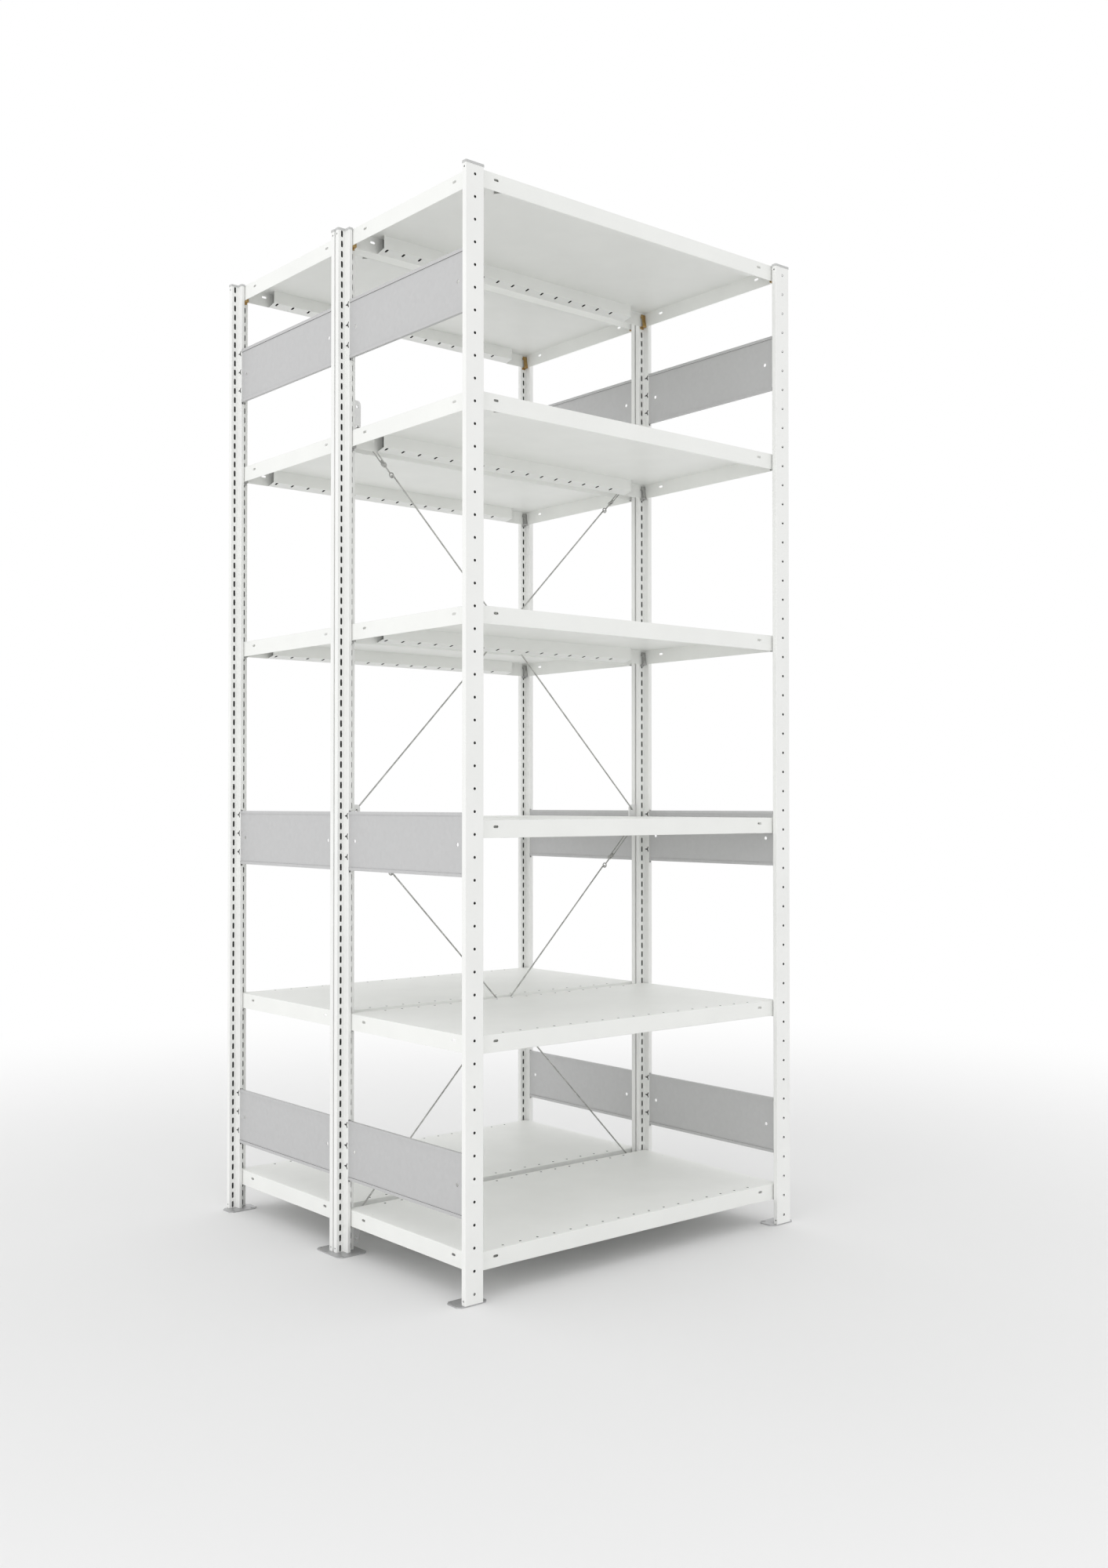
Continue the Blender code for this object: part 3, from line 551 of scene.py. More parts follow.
def add_piece(name, shape, material, body, replaced=(), inside=None):
    """Puts a shape into the scene as one piece. A shape of five arrays brings its own direction at each corner
    and may give the faces it marks a second material: the dark colour that paints shade inside the uprights and
    the shelves' folds, or the panels' hem edges; otherwise edges sharper than SHARP stay sharp."""
    points, corners, sizes = shape[:3]
    mesh = bpy.data.meshes.new(name)
    mesh.vertices.add(len(points))
    mesh.vertices.foreach_set("co", np.asarray(points, np.float32).ravel())
    mesh.loops.add(len(corners))
    mesh.loops.foreach_set("vertex_index", np.asarray(corners, np.int32))
    mesh.polygons.add(len(sizes))
    mesh.polygons.foreach_set("loop_start", (np.cumsum(sizes) - sizes).astype(np.int32))
    mesh.update(calc_edges=True)
    if mesh.validate():
        raise RuntimeError(f"{name} has faces that aren't valid")
    mesh.shade_smooth()
    mesh.materials.append(material)
    if len(shape) == 5:
        mesh.normals_split_custom_set(shape[3])
    else:
        mesh.set_sharp_from_angle(angle=SHARP)
    if inside:
        mesh.materials.append(inside)
        mesh.polygons.foreach_set("material_index", shape[4].astype(np.int32))
    piece = bpy.data.objects.new(name, mesh)
    bpy.context.scene.collection.objects.link(piece)
    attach(piece, body)
    if replaced:
        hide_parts(*replaced)


def moved(shape, turn_sign, spot):
    """A shape turned half round about the vertical where the sign is negative, and moved to a spot."""
    flip = np.array([turn_sign, turn_sign, 1.0])
    directions = tuple(part * flip for part in shape[3:4])
    return (shape[0] * flip + np.asarray(spot, float), *shape[1:3], *directions, *shape[4:])


# ---------------------------------------------------------------- materials


def link_node(tree, kind, sockets=None, **settings):
    """A new node with its settings; a socket takes a value, or another node's output."""
    node = tree.nodes.new(kind)
    for key, value in settings.items():
        setattr(node, key, value)
    for key, value in (sockets or {}).items():
        if isinstance(value, bpy.types.NodeSocket):
            tree.links.new(value, node.inputs[key])
        else:
            node.inputs[key].default_value = value
    return node


def object_point(tree):
    return link_node(tree, "ShaderNodeTexCoord").outputs["Object"]


def noise(tree, point, scale, detail=2.0, roughness=0.5):
    sockets = {"Vector": point, "Scale": scale, "Detail": detail, "Roughness": roughness}
    return link_node(tree, "ShaderNodeTexNoise", sockets).outputs["Fac"]


def spread(tree, value, low, high, start=0.3, end=0.7):
    sockets = {"Value": value, "From Min": start, "From Max": end, "To Min": low, "To Max": high}
    return link_node(tree, "ShaderNodeMapRange", sockets).outputs["Result"]


def tinted(tree, value, first, second):
    """A colour between two, by a value from 0 to 1."""
    node = link_node(tree, "ShaderNodeMix", data_type="RGBA")
    tree.links.new(value, node.inputs[0])
    node.inputs[6].default_value = (*first, 1.0)
    node.inputs[7].default_value = (*second, 1.0)
    return node.outputs[2]


def start_material(name):
    """A material with an empty shader, and that shader."""
    material = bpy.data.materials.new(name)
    material.use_nodes = True
    tree = material.node_tree
    shader = tree.nodes["Principled BSDF"]
    return material, tree, shader


def scaled(colour_value, factor):
    return tuple(min(1.0, part * factor) for part in colour_value)


def bump(tree, shader, height, strength, distance):
    """Gives a shader a bump of a strength, as deep as the distance in metres."""
    sockets = {"Strength": strength, "Distance": distance, "Height": height}
    node = link_node(tree, "ShaderNodeBump", sockets)
    tree.links.new(node.outputs["Normal"], shader.inputs["Normal"])


def grained(name, colours, patches, gloss, relief, **values):
    """A material of three layers of noise: patches between two colours, an uneven gloss and a fine bump.

    Patches are the noise's settings and the part of its range that is spread out, gloss the settings and the
    two roughnesses, relief the settings, the bump's strength and its depth; values go to the shader as they are.
    """
    material, tree, shader = start_material(name)
    point = object_point(tree)
    cloud = spread(tree, noise(tree, point, *patches[0]), 0.0, 1.0, *patches[1])
    tree.links.new(tinted(tree, cloud, *colours), shader.inputs["Base Color"])
    tree.links.new(spread(tree, noise(tree, point, *gloss[0]), *gloss[1]), shader.inputs["Roughness"])
    bump(tree, shader, noise(tree, point, *relief[0]), *relief[1:])
    for key, value in values.items():
        shader.inputs[key].default_value = value
    return material


def powder_coat(name, base, roughness):
    """Smooth powder coat: an orange-peel bump of about a millimetre, a faint cloudiness over a hand's width
    and a slightly uneven gloss."""
    return grained(
        name,
        (scaled(base, 0.985), scaled(base, 1.010)),
        patches=((9.0, 3.0), (0.35, 0.65)),
        gloss=((60.0, 2.0), (roughness - 0.04, roughness + 0.05)),
        relief=((850.0, 1.5), 0.10, 0.00012),
        **{"Specular IOR Level": 0.45},
    )


def galvanised(name, base, scale, contrast, roughness, metallic):
    """Galvanised steel: spangle as flat crystals, each a little lighter or darker and more or less glossy than
    the next, under a fine grain."""
    material, tree, shader = start_material(name)
    point = object_point(tree)
    wobble = link_node(tree, "ShaderNodeTexNoise", {"Vector": point, "Scale": scale * 1.5, "Detail": 1.0})
    sockets = {0: wobble.outputs["Color"], "Scale": 0.25 / scale}
    shift = link_node(tree, "ShaderNodeVectorMath", sockets, operation="SCALE")
    bent = link_node(tree, "ShaderNodeVectorMath", {0: point, 1: shift.outputs[0]}, operation="ADD")
    crystals = link_node(tree, "ShaderNodeTexVoronoi", {"Vector": bent.outputs[0], "Scale": scale})
    grey = link_node(tree, "ShaderNodeSeparateColor", {"Color": crystals.outputs["Color"]})
    grain = noise(tree, point, 900.0)
    shade = link_node(tree, "ShaderNodeMath", {0: grey.outputs[0], 1: 0.75}, operation="MULTIPLY")
    both = link_node(tree, "ShaderNodeMath", {0: grain, 1: 0.25, 2: shade.outputs[0]}, operation="MULTIPLY_ADD")
    dark, light = scaled(base, 1 - contrast), scaled(base, 1 + contrast)
    tree.links.new(tinted(tree, both.outputs[0], dark, light), shader.inputs["Base Color"])
    gloss = spread(tree, grey.outputs[1], roughness - 0.04, roughness + 0.04, 0.0, 1.0)
    tree.links.new(gloss, shader.inputs["Roughness"])
    bump(tree, shader, grain, 0.06, 0.00006)
    shader.inputs["Metallic"].default_value = metallic
    return material


def plated(name, base, roughness, metallic=0.85, tint=None):
    """Plated wire or clip: fine drawn grain, blotches of dull plating and a lighter or warmer tint in places."""
    return grained(
        name,
        (scaled(base, 0.88), tint or scaled(base, 1.22)),
        patches=((70.0, 3.0, 0.6), (0.38, 0.62)),
        gloss=((260.0, 2.0), (roughness - 0.08, roughness + 0.10)),
        relief=((1500.0, 2.0), 0.15, 0.0001),
        Metallic=metallic,
    )


def moulded_plastic(name, base):
    """Moulded plastic: a fine spark-eroded grain and a faint mottling."""
    return grained(
        name,
        (scaled(base, 0.97), scaled(base, 1.03)),
        patches=((120.0, 2.0), ()),
        gloss=((400.0, 1.0), (0.48, 0.60)),
        relief=((2200.0, 2.0), 0.2, 0.00008),
    )


def finish_of(name):
    """The finish of that name, made the first time it is asked for."""
    known = bpy.data.materials.get(name)
    if known:
        return known
    finishes = bpy.context.scene.shelving_finishes
    makers = {
        "post_powder_coat": lambda: powder_coat(name, finishes.post_white, finishes.coat_roughness),
        "tray_powder_coat": lambda: powder_coat(name, finishes.tray_white, finishes.coat_roughness + 0.02),
        # The dark insides paint the shade inside the uprights and the shelves' folds.
        "post_painted_shade": lambda: powder_coat(name, finishes.inside, 0.6),
        "tray_painted_shade": lambda: powder_coat(name, scaled(finishes.inside, 0.5), 0.6),
        "panel_galvanised": lambda: galvanised(name, finishes.zinc_sheet, 105.0, 0.018, 0.48, 0.35),
        # Hem edges: partly bare steel, partly painted shade of the gap under each hem.
        "panel_raw_edge_and_painted_shade": lambda: plated(name, finishes.raw_edge_and_painted_shade, 0.6),
        "foot_plate_galvanised": lambda: galvanised(name, finishes.zinc_plate, 120.0, 0.06, 0.44, 0.60),
        "bracket_zinc": lambda: galvanised(name, finishes.zinc_bracket, 200.0, 0.03, 0.40, 0.35),
        "brace_wire_zinc": lambda: plated(name, finishes.zinc_wire, 0.42),
        "tensioner_zinc": lambda: plated(name, scaled(finishes.zinc_wire, 0.92), 0.40),
        "clip_steel": lambda: plated(name, finishes.clip_steel, 0.42),
        "clip_yellow_zinc": lambda: plated(name, finishes.clip_brass, 0.40, 0.8, (0.52, 0.36, 0.15)),
        "cap_grey_plastic": lambda: moulded_plastic(name, finishes.cap_grey),
        # The stars' dark colour paints the shade of the pressed dents.
        "clinch_painted_shade": lambda: plated(name, finishes.star_painted_shade, 0.6, 0.2),
    }
    return makers[name]()


# ---------------------------------------------------------------- pieces


def post_names():
    """Name, stem direction, shelf side and end of each upright."""
    for bay, bay_sign in BAYS.items():
        for line in ("outer", "inner"):
            stem_sign = -bay_sign if line == "outer" else bay_sign
            for end, end_sign in ENDS.items():
                yield f"{bay}_{end}_{line}", stem_sign, -end_sign * stem_sign, end_sign


def post_spot(name, stem_sign):
    """Middle of the head's face on the floor, from the CAD upright's box."""
    low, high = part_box(f"upright_{name}")
    return np.array([(low.x + high.x) / 2, low.y if stem_sign > 0 else high.y, 0.0])


def post_shape(sizes, low, high, panels):
    """One upright in its own frame, its face at y = 0 and its stem towards +y.

    The section's line runs from one return at the stem's end round the head to the other, and the pattern's
    rows stand half a pitch apart. Slots sit at every odd row in both shoulders, round holes at every fourth row
    in the face. The returns are left out where an end panel enters the stem.
    """
    stem, wing = sizes.stem_width / 2, sizes.head_width / 2
    depth, shoulder = sizes.section_depth, sizes.head_depth
    half = [(sizes.stem_gap, depth), (stem, depth), (stem, shoulder), (wing, shoulder), (wing, 0.0)]
    line = [(-x, y) for x, y in half] + [(x, y) for x, y in reversed(half)]
    # The line turns left round the head, so it is followed the other way, with the sheet on its right.
    section = folded_section(line[::-1], sizes.sheet, sizes.bend)
    start = section["from_corner"]
    slot_lines = [start[2] + sizes.slot_offset - stem, start[6] + wing - sizes.slot_offset]
    side_lines = [start[3] + shoulder - sizes.side_hole_depth, start[5] + sizes.side_hole_depth]
    face = wing - sizes.bend
    columns = grid_lines(section["distance"], slot_lines, side_lines, [-face / 2, 0.0, face / 2])
    rows = np.arange(round(high / sizes.pitch) * 2 + 1) * sizes.pitch / 2
    rows[0] = low
    across, along = np.meshgrid(columns, rows)
    cells = np.ones((len(rows) - 1, len(columns) - 1), bool)
    returns = abs(columns[1:] + columns[:-1]) / 2 > start[8] + sizes.bend - NEAR
    for bottom, top in panels:
        cells[((rows[1:] > bottom) & (rows[:-1] < top))[:, None] & returns] = False
    slot = rim(sizes.slot_width, sizes.slot_length, math.pi / 2)
    lowest_and_highest = np.array([0, len(rows) - 3])
    cutouts = [(np.arange(0, len(rows) - 1, 2), nearest(columns, line) - 1, 2, slot) for line in slot_lines]
    for line in side_lines:
        cutouts.append((lowest_and_highest, nearest(columns, line) - 1, 2, rim(sizes.side_hole)))
    cutouts.append((np.arange(0, len(rows) - 1, 4), nearest(columns, 0.0) - 2, 4, rim(sizes.hole)))
    flat, corners, counts = punched_pattern(across, along, cutouts, cells)
    outer, inner, normal = sheet_sides(section, flat[:, 0])
    height = flat[:, 1:]
    normal = unit(np.concatenate([normal, np.zeros_like(height)], axis=1))
    outer, inner = (np.concatenate([side, height], axis=1) for side in (outer, inner))
    # Painted shade: the head's inner skin and the walls of the holes in the face take the dark colour that stands
    # for the shade inside the upright.
    in_face = (abs(flat[:, 0]) < face) & (flat[:, 1] > low) & (flat[:, 1] < high)
    return two_skins(corners, counts, outer, inner, normal, abs(flat[:, 0]) < start[6], in_face)


def head_and_stem(sizes, grow):
    """Closed outline of head and stem together, grown outwards."""
    stem, wing = sizes.stem_width / 2 + grow, sizes.head_width / 2 + grow
    end, shoulder = sizes.section_depth + grow, sizes.head_depth + grow
    half = [(wing, -grow), (wing, shoulder), (stem, shoulder), (stem, end)]
    corners = half + [(-x, y) for x, y in reversed(half)]
    outside, inside = sizes.bend + grow, max(sizes.bend - grow, sizes.least_round)
    radii = [outside, outside, inside, outside * STEM_END_ROUND]
    return rounded_outline(corners, radii + radii[::-1], steps=6)


def cap_shape(sizes, bottom, top, post_top):
    """A cap as a thin shell: a skirt round the upright's outline under a flat top with a rounded edge."""
    fit, wall, edge = sizes.cap_fit, sizes.cap_wall, sizes.cap_round
    bevel, ceiling = wall * 0.2, post_top + fit
    turns = np.linspace(0, math.pi / 2, BEND_STEPS + 1)
    levels = [(fit, ceiling), (fit, bottom), (fit + wall - bevel, bottom), (fit + wall, bottom + bevel)]
    levels += [(fit + wall - edge * (1 - math.cos(turn)), top - edge * (1 - math.sin(turn))) for turn in turns]
    rings = []
    for grow, level in levels:
        outline = head_and_stem(sizes, grow)
        rings.append(np.concatenate([outline, np.full((len(outline), 1), level)], axis=1))
    return lofted(rings)


def star_shape(arm, height):
    """A pressed three-armed star with round arm ends, its first arm towards -x, as a low plate with sloping
    sides. Each arm's outline is a half circle at its tip between two straight sides that meet the next arm's in
    a notch."""
    tip, root, narrowing = arm * 0.17, arm * 0.30, 0.9
    sweep = np.linspace(-math.pi / 2, math.pi / 2, BEND_STEPS + 1)[:, None]
    ring = []
    for turn in math.pi + np.arange(3) * 2 * math.pi / 3:
        way = np.array([math.cos(turn), math.sin(turn)])
        side = np.array([-way[1], way[0]])
        ring.append((arm - tip) * way + tip * (np.cos(sweep) * way + np.sin(sweep) * side))
        notch = turn + math.pi / 3
        ring.append(root * np.array([[math.cos(notch), math.sin(notch)]]))
    outline = np.concatenate(ring)
    low = np.concatenate([outline, np.zeros((len(outline), 1))], axis=1)
    high = np.concatenate([outline * narrowing, np.full((len(outline), 1), height)], axis=1)
    return lofted([low, high])


def clinch_shape(sizes, panel_tops, side):
    """The pressed stars on one side of an upright's stem, three per end panel."""
    points, corners, counts = star_shape(sizes.clinch, sizes.clinch_height)
    drops = sizes.clinch_drop + sizes.clinch_pitch * np.arange(3)
    heights = np.concatenate([top - drops for top in panel_tops])
    if side < 0:
        corners = reversed_corners(corners, counts)
    depth = sizes.section_depth - sizes.clinch_depth + points[:, 0]
    across = side * (sizes.stem_width / 2 - SEAT + points[:, 2])
    stars = [np.stack([across, depth, height + points[:, 1]], axis=1) for height in heights]
    return joined([(star, corners, counts) for star in stars])


def clip_strip(sizes, root, lip_bottom, middle, away):
    """One shelf clip in the upright's frame: a strip folded from an apron on the shoulder, under the lip and up
    behind it, with a small ear on the side away from the stem and a nib on the apron."""
    top_line = lip_bottom - sizes.fit
    near, far = root + sizes.play, root + sizes.setback
    apron_end, tongue_end = lip_bottom - sizes.apron, lip_bottom + sizes.tongue
    line = [(near, apron_end), (near, top_line), (far, top_line), (far, tongue_end)]
    section = folded_section(line, sizes.sheet, sizes.bend)
    up = section["from_corner"][2] + sizes.fit
    start, end = section["distance"][0], section["distance"][-1]
    waist, top, ear = sizes.waist / 2, sizes.top / 2, sizes.ear
    # Distance along the strip, and its half width there on the side of the stem and on the other side
    outline = [
        (start, 0.0062, 0.0062),
        (start + 0.004, 0.0066, 0.0066),
        (up - 0.001, 0.0085, 0.0062),
        (up + 0.004, 0.0082, 0.0060),
        (up + 0.012, waist, waist),
        (up + 0.0215, waist, waist),
        (up + 0.023, waist, waist + ear),
        (up + 0.0265, top * 0.97, waist + ear),
        (up + 0.028, top, top),
        (end - 0.0015, top, top),
        (end, top - 0.001, top - 0.001),
    ]
    marks, stem_edge, free_edge = np.array(outline).T
    rows = grid_lines(section["distance"], marks)
    sides = np.linspace(-1, 1, 3)
    towards_stem, from_stem = np.interp(rows, marks, stem_edge), np.interp(rows, marks, free_edge)
    across = np.where(sides > 0, sides * from_stem[:, None], sides * towards_stem[:, None])
    flat, corners, counts = punched_pattern(across, np.repeat(rows[:, None], 3, axis=1))
    outer, inner, normal = sheet_sides(section, flat[:, 1])
    foot = up + 0.003
    leaning = sizes.lean * np.clip((flat[:, 1] - foot) / (end - foot), 0.0, 1.0)
    outer[:, 0] -= leaning
    inner[:, 0] -= leaning
    place = middle + away * flat[:, :1]
    normal = unit(np.concatenate([np.zeros_like(place), normal], axis=1))
    outer, inner = (np.concatenate([place, side], axis=1) for side in (outer, inner))
    strip = two_skins(corners, counts, outer, inner, normal)
    nib_middle, nib_halves = (middle, root - 0.0012, top_line - 0.0035), (0.0020, 0.0026, 0.0025)
    return [strip[:3], rounded_bar(nib_middle, np.eye(3), nib_halves, SOFT_EDGE)]


def plate_shape(sizes, low, high, middle, end_sign, stems):
    """A foot plate: rows of nodes across it, its corner nodes drawn in along the cut-off corners, a round anchor
    hole towards the unit's outside and a slanted slot towards its inside at each stem edge."""
    half = (high.x - low.x) / 2
    cut, inset, offset = sizes.chamfer, sizes.anchor_inset, sizes.anchor_offset
    margin, strip = 0.006, 0.008
    right = [strip, offset - margin, offset, offset + margin, half]
    columns = np.array([-value for value in reversed(right)] + right)
    rows = np.array([low.y, low.y + inset, low.y + 2 * inset, high.y - 2 * inset, high.y - inset, high.y])
    across, along = np.meshgrid(columns, rows)
    drawn = np.array([[half - cut * 2 / 3, cut / 3], [half - cut / 3, cut * 2 / 3], [half, cut]])
    for side, column, beside in ((-1, 0, 1), (1, -1, -2)):
        across[:3, column], along[:3, column] = side * drawn[:, 0], low.y + drawn[:, 1]
        across[-3:, column], along[-3:, column] = side * drawn[::-1, 0], high.y - drawn[::-1, 1]
        across[[0, -1], beside] = side * (half - cut)
    hole_column, slot_column = (6, 1) if end_sign > 0 else (1, 6)
    cutouts = []
    for stem_sign in stems:
        row = np.array([len(rows) - 3 if stem_sign > 0 else 0])
        slant = -end_sign * stem_sign * math.pi / 4
        cutouts.append((row, np.array([hole_column]), 2, rim(sizes.anchor)))
        cutouts.append((row, np.array([slot_column]), 2, rim(sizes.anchor, sizes.anchor_slot, slant)))
    flat, corners, counts = punched_pattern(across, along, cutouts)
    flat = flat + np.array([middle, 0.0])
    skins = [np.concatenate([flat, np.full((len(flat), 1), level)], axis=1) for level in (sizes.plate, low.z)]
    normal = np.tile([0.0, 0.0, 1.0], (len(flat), 1))
    return two_skins(corners, counts, *skins, normal)[:3]


def tab_shape(sizes, face, stem_sign, middle, top):
    """The tab that stands on a foot plate inside an upright's head, just behind its face."""
    seat = 0.0006
    half = (top - sizes.plate + seat) / 2
    place = (middle, face + stem_sign * sizes.tab_depth, top - half)
    return rounded_bar(place, np.eye(3), (sizes.tab_width / 2, sizes.tab_sheet / 2, half), SOFT_EDGE)


def tray_shape(sizes, low, high):
    """One pressed shelf. Both directions fold alone: x and its drop follow the distance along the shelf, y and
    its drop the distance across it, and the height is the deck less both drops. The pattern leaves out the
    corners, where both would bend, and the ends of the flanges."""
    half_x, half_y = (high.x - low.x) / 2, (high.y - low.y) / 2
    height, bend = high.z - low.z, sizes.bend
    ceiling, flange = height - sizes.sheet, half_y - sizes.flange
    length_line = [(-half_x, 0.0), (-half_x, height), (half_x, height), (half_x, 0.0)]
    depth_line = [(-flange, ceiling), (-flange, 0.0), (-half_y, 0.0), (-half_y, height)]
    depth_line += [(-y, z) for y, z in reversed(depth_line)]
    lengthways = folded_section(length_line, sizes.sheet, bend)
    depthways = folded_section(depth_line, sizes.sheet, bend)
    ends_u, ends_v = lengthways["from_corner"], depthways["from_corner"]
    drop, inset = sizes.slot_drop, sizes.flange_slot_inset
    slot_x, slot_y = half_x - sizes.slot_from_end, half_y - sizes.slot_from_side
    corner_x, corner_y = half_x - sizes.corner_hole_inset, sizes.corner_hole_reach
    hole_y = half_y - sizes.deck_hole_inset
    cut_x = half_x - sizes.flange_cut
    step_x = cut_x + 0.0015

    # The pattern's lines: u along the shelf, v across it; each hole needs a line through it and one beside it.
    half_pitch, plain_end = sizes.deck_pitch / 2, 0.07
    last = int((half_x - plain_end) / half_pitch)
    lip_lines = np.array([drop - 0.00675, drop, drop + 0.012])
    side_x = np.array([slot_x + 0.0185, slot_x + 0.0315, slot_x, cut_x, corner_x, step_x])
    side_y = np.array([corner_y - 0.010, corner_y, corner_y + 0.010, slot_y, slot_y + 0.009, slot_y + 0.017])
    side_y = np.concatenate([side_y, [hole_y - 0.013, hole_y, 0.0, 0.05, 0.10, flange]])
    flange_lines = np.array([inset - 0.011, inset])
    u_lips = [ends_u[0] + height - lip_lines, ends_u[2] + lip_lines]
    v_lips = [ends_v[2] + height - lip_lines, ends_v[4] + lip_lines]
    v_flange = [ends_v[1] + sizes.flange - flange_lines, ends_v[5] + flange_lines]
    regular = np.arange(-last, last + 1) * half_pitch
    u_lines = grid_lines(regular, side_x, -side_x, *u_lips, lengthways["distance"])
    v_lines = grid_lines(side_y, -side_y, *v_lips, *v_flange, depthways["distance"])
    across, along = np.meshgrid(u_lines, v_lines)
    mid_u = abs(u_lines[1:] + u_lines[:-1])[None, :] / 2
    mid_v = abs(v_lines[1:] + v_lines[:-1])[:, None] / 2
    lip_foot = depthways["distance"][4 * BEND_STEPS + 5]
    cells = ((mid_u < half_x - bend) | (mid_v < half_y - bend)) & ~((mid_v > lip_foot) & (mid_u > cut_x))
    # The back flange has its own lines, a little to one side of the deck's holes.
    back = (along > ends_v[5] + bend + NEAR) & (abs(across) < cut_x - NEAR)
    across = np.where(back, across - sizes.flange_slot_shift, across)

    lip_slot = rim(sizes.slot_width, sizes.slot_length)
    end_slot = rim(sizes.slot_width, sizes.slot_length, math.pi / 2)
    flange_slot = rim(sizes.flange_slot_width, sizes.flange_slot_length, math.pi / 2)
    holes = nearest(u_lines, np.arange(-8, 9) * sizes.deck_pitch) - 1
    lip_columns, end_rows = nearest(u_lines, [-slot_x, slot_x]) - 2, nearest(v_lines, [-slot_y, slot_y]) - 2
    corner_rows = nearest(v_lines, [-corner_y, corner_y]) - 1
    cutouts = []
    for sign in (-1, 1):
        lip_v, end_u = (side[(sign + 1) // 2][1] for side in (v_lips, u_lips))
        cutouts.append((nearest(v_lines, lip_v) - 2, lip_columns, 4, lip_slot))
        cutouts.append((end_rows, nearest(u_lines, end_u) - 2, 4, end_slot))
        cutouts.append((nearest(v_lines, sign * hole_y) - 1, holes, 2, rim(sizes.deck_hole)))
        cutouts.append((corner_rows, nearest(u_lines, sign * corner_x) - 1, 2, rim(sizes.corner_hole)))
    cutouts.append((nearest(v_lines, v_flange[1][1]) - 1, holes[:-1], 2, flange_slot))
    flat, corners, counts = punched_pattern(across, along, cutouts, cells)

    u_reach, v_reach = abs(flat).T
    skins = []
    for key, level in (("outer", height), ("inner", ceiling)):
        x_drop = along_section(lengthways, key, flat[:, 0])
        y_drop = along_section(depthways, key, flat[:, 1])
        # Past the flange's ends the lip goes straight down to its foot.
        straight = (u_reach > step_x - NEAR) & (abs(v_reach - lip_foot) < NEAR)
        y_drop[straight, 1] = 0.0
        # Flange and web rise with the distance in from the lip, less and less up the web.
        inward = np.clip(half_y - bend - abs(y_drop[:, 0]), 0.0, sizes.flange - bend)
        rise = sizes.flange_rise * inward / (sizes.flange - bend) * (1 - y_drop[:, 1] / ceiling)
        y_drop[:, 1] += np.where(v_reach > lip_foot + NEAR, rise, 0.0)
        skins.append(np.stack([x_drop[:, 0], y_drop[:, 0], x_drop[:, 1] + y_drop[:, 1] - level], axis=1))
    lean_x = along_section(lengthways, "normal", flat[:, 0])
    lean_y = along_section(depthways, "normal", flat[:, 1])
    normal = unit(np.stack([lean_x[:, 0], lean_y[:, 0], lean_x[:, 1] * lean_y[:, 1]], axis=1))
    spot = foot_middle(low, high)
    # Painted shade: the inner skin inside the folds and the walls of the holes and slots there take the dark
    # material. Nothing dark shows through the open ends of the folds: the lit part is longer in front.
    folded = abs(skins[1][:, 1]) > flange + NEAR
    lit_end = np.where(skins[1][:, 1] > 0, 0.010, 0.060)
    painted_shade_nodes, painted_shade_edges = folded & (u_reach < cut_x - lit_end), folded & (u_reach < cut_x - 0.001)
    return two_skins(corners, counts, skins[0] + spot, skins[1] + spot, normal, painted_shade_nodes, painted_shade_edges)


def hem_strip(sizes, web, edge, inward, middle, reach):
    """A flat hem outside a panel's web, from its long edge inwards, with the cut edge of its sheet marked for a
    near-black colour that is partly bare steel and partly painted shade of the gap under the hem.
    """
    far = edge + inward * sizes.hem
    outline = [(-1, edge), (1, edge), (1, far), (-1, far)]
    rings = [[(x, middle + side * reach, z) for side, z in outline] for x in (web - sizes.hem_sheet, web)]
    points, corners, counts = lofted(rings)
    directions = face_normals(points, corners, counts)
    return points, corners, counts, np.repeat(directions, counts, axis=0), inward * directions[:, 2] > 0.5


def panel_shape(sizes, low, high):
    """An end panel: a channel with its web on the left, a round hole near each end of the web, and a flat hem
    along both long edges between the stems."""
    height, half, reach = high.z - low.z, (high.y - low.y) / 2, (high.x - low.x) / 2
    line = [(reach, 0.0), (-reach, 0.0), (-reach, height), (reach, height)]
    section = folded_section(line, sizes.panel_sheet, sizes.panel_bend)
    hole, margin, strip = half - sizes.panel_hole_from_end, 0.03, 0.06
    right = [strip, hole - margin, hole, hole + margin, half]
    rows = np.array([-value for value in reversed(right)] + right)
    columns = grid_lines(section["distance"], [0.0])
    across, along = np.meshgrid(columns, rows)
    cutouts = [(np.array([1, 6]), nearest(columns, 0.0) - 1, 2, rim(sizes.panel_hole))]
    flat, corners, counts = punched_pattern(across, along, cutouts)
    outer, inner, normal = sheet_sides(section, flat[:, 0])
    outer, inner = (np.stack([side[:, 0], flat[:, 1], side[:, 1]], axis=1) for side in (outer, inner))
    normal = unit(np.stack([normal[:, 0], np.zeros(len(flat)), normal[:, 1]], axis=1))
    spot = foot_middle(low, high)
    parts = [two_skins(corners, counts, outer + spot, inner + spot, normal)]
    for edge, inward in ((low.z, 1), (high.z, -1)):
        parts.append(hem_strip(sizes, low.x, edge, inward, spot[1], half - sizes.panel_grip))
    return joined(parts)


def stem_middle(end):
    """Where the middle of an end's back-to-back uprights stands along the shelves."""
    low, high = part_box(f"upright_front_{end}_inner")
    return (low.x + high.x) / 2


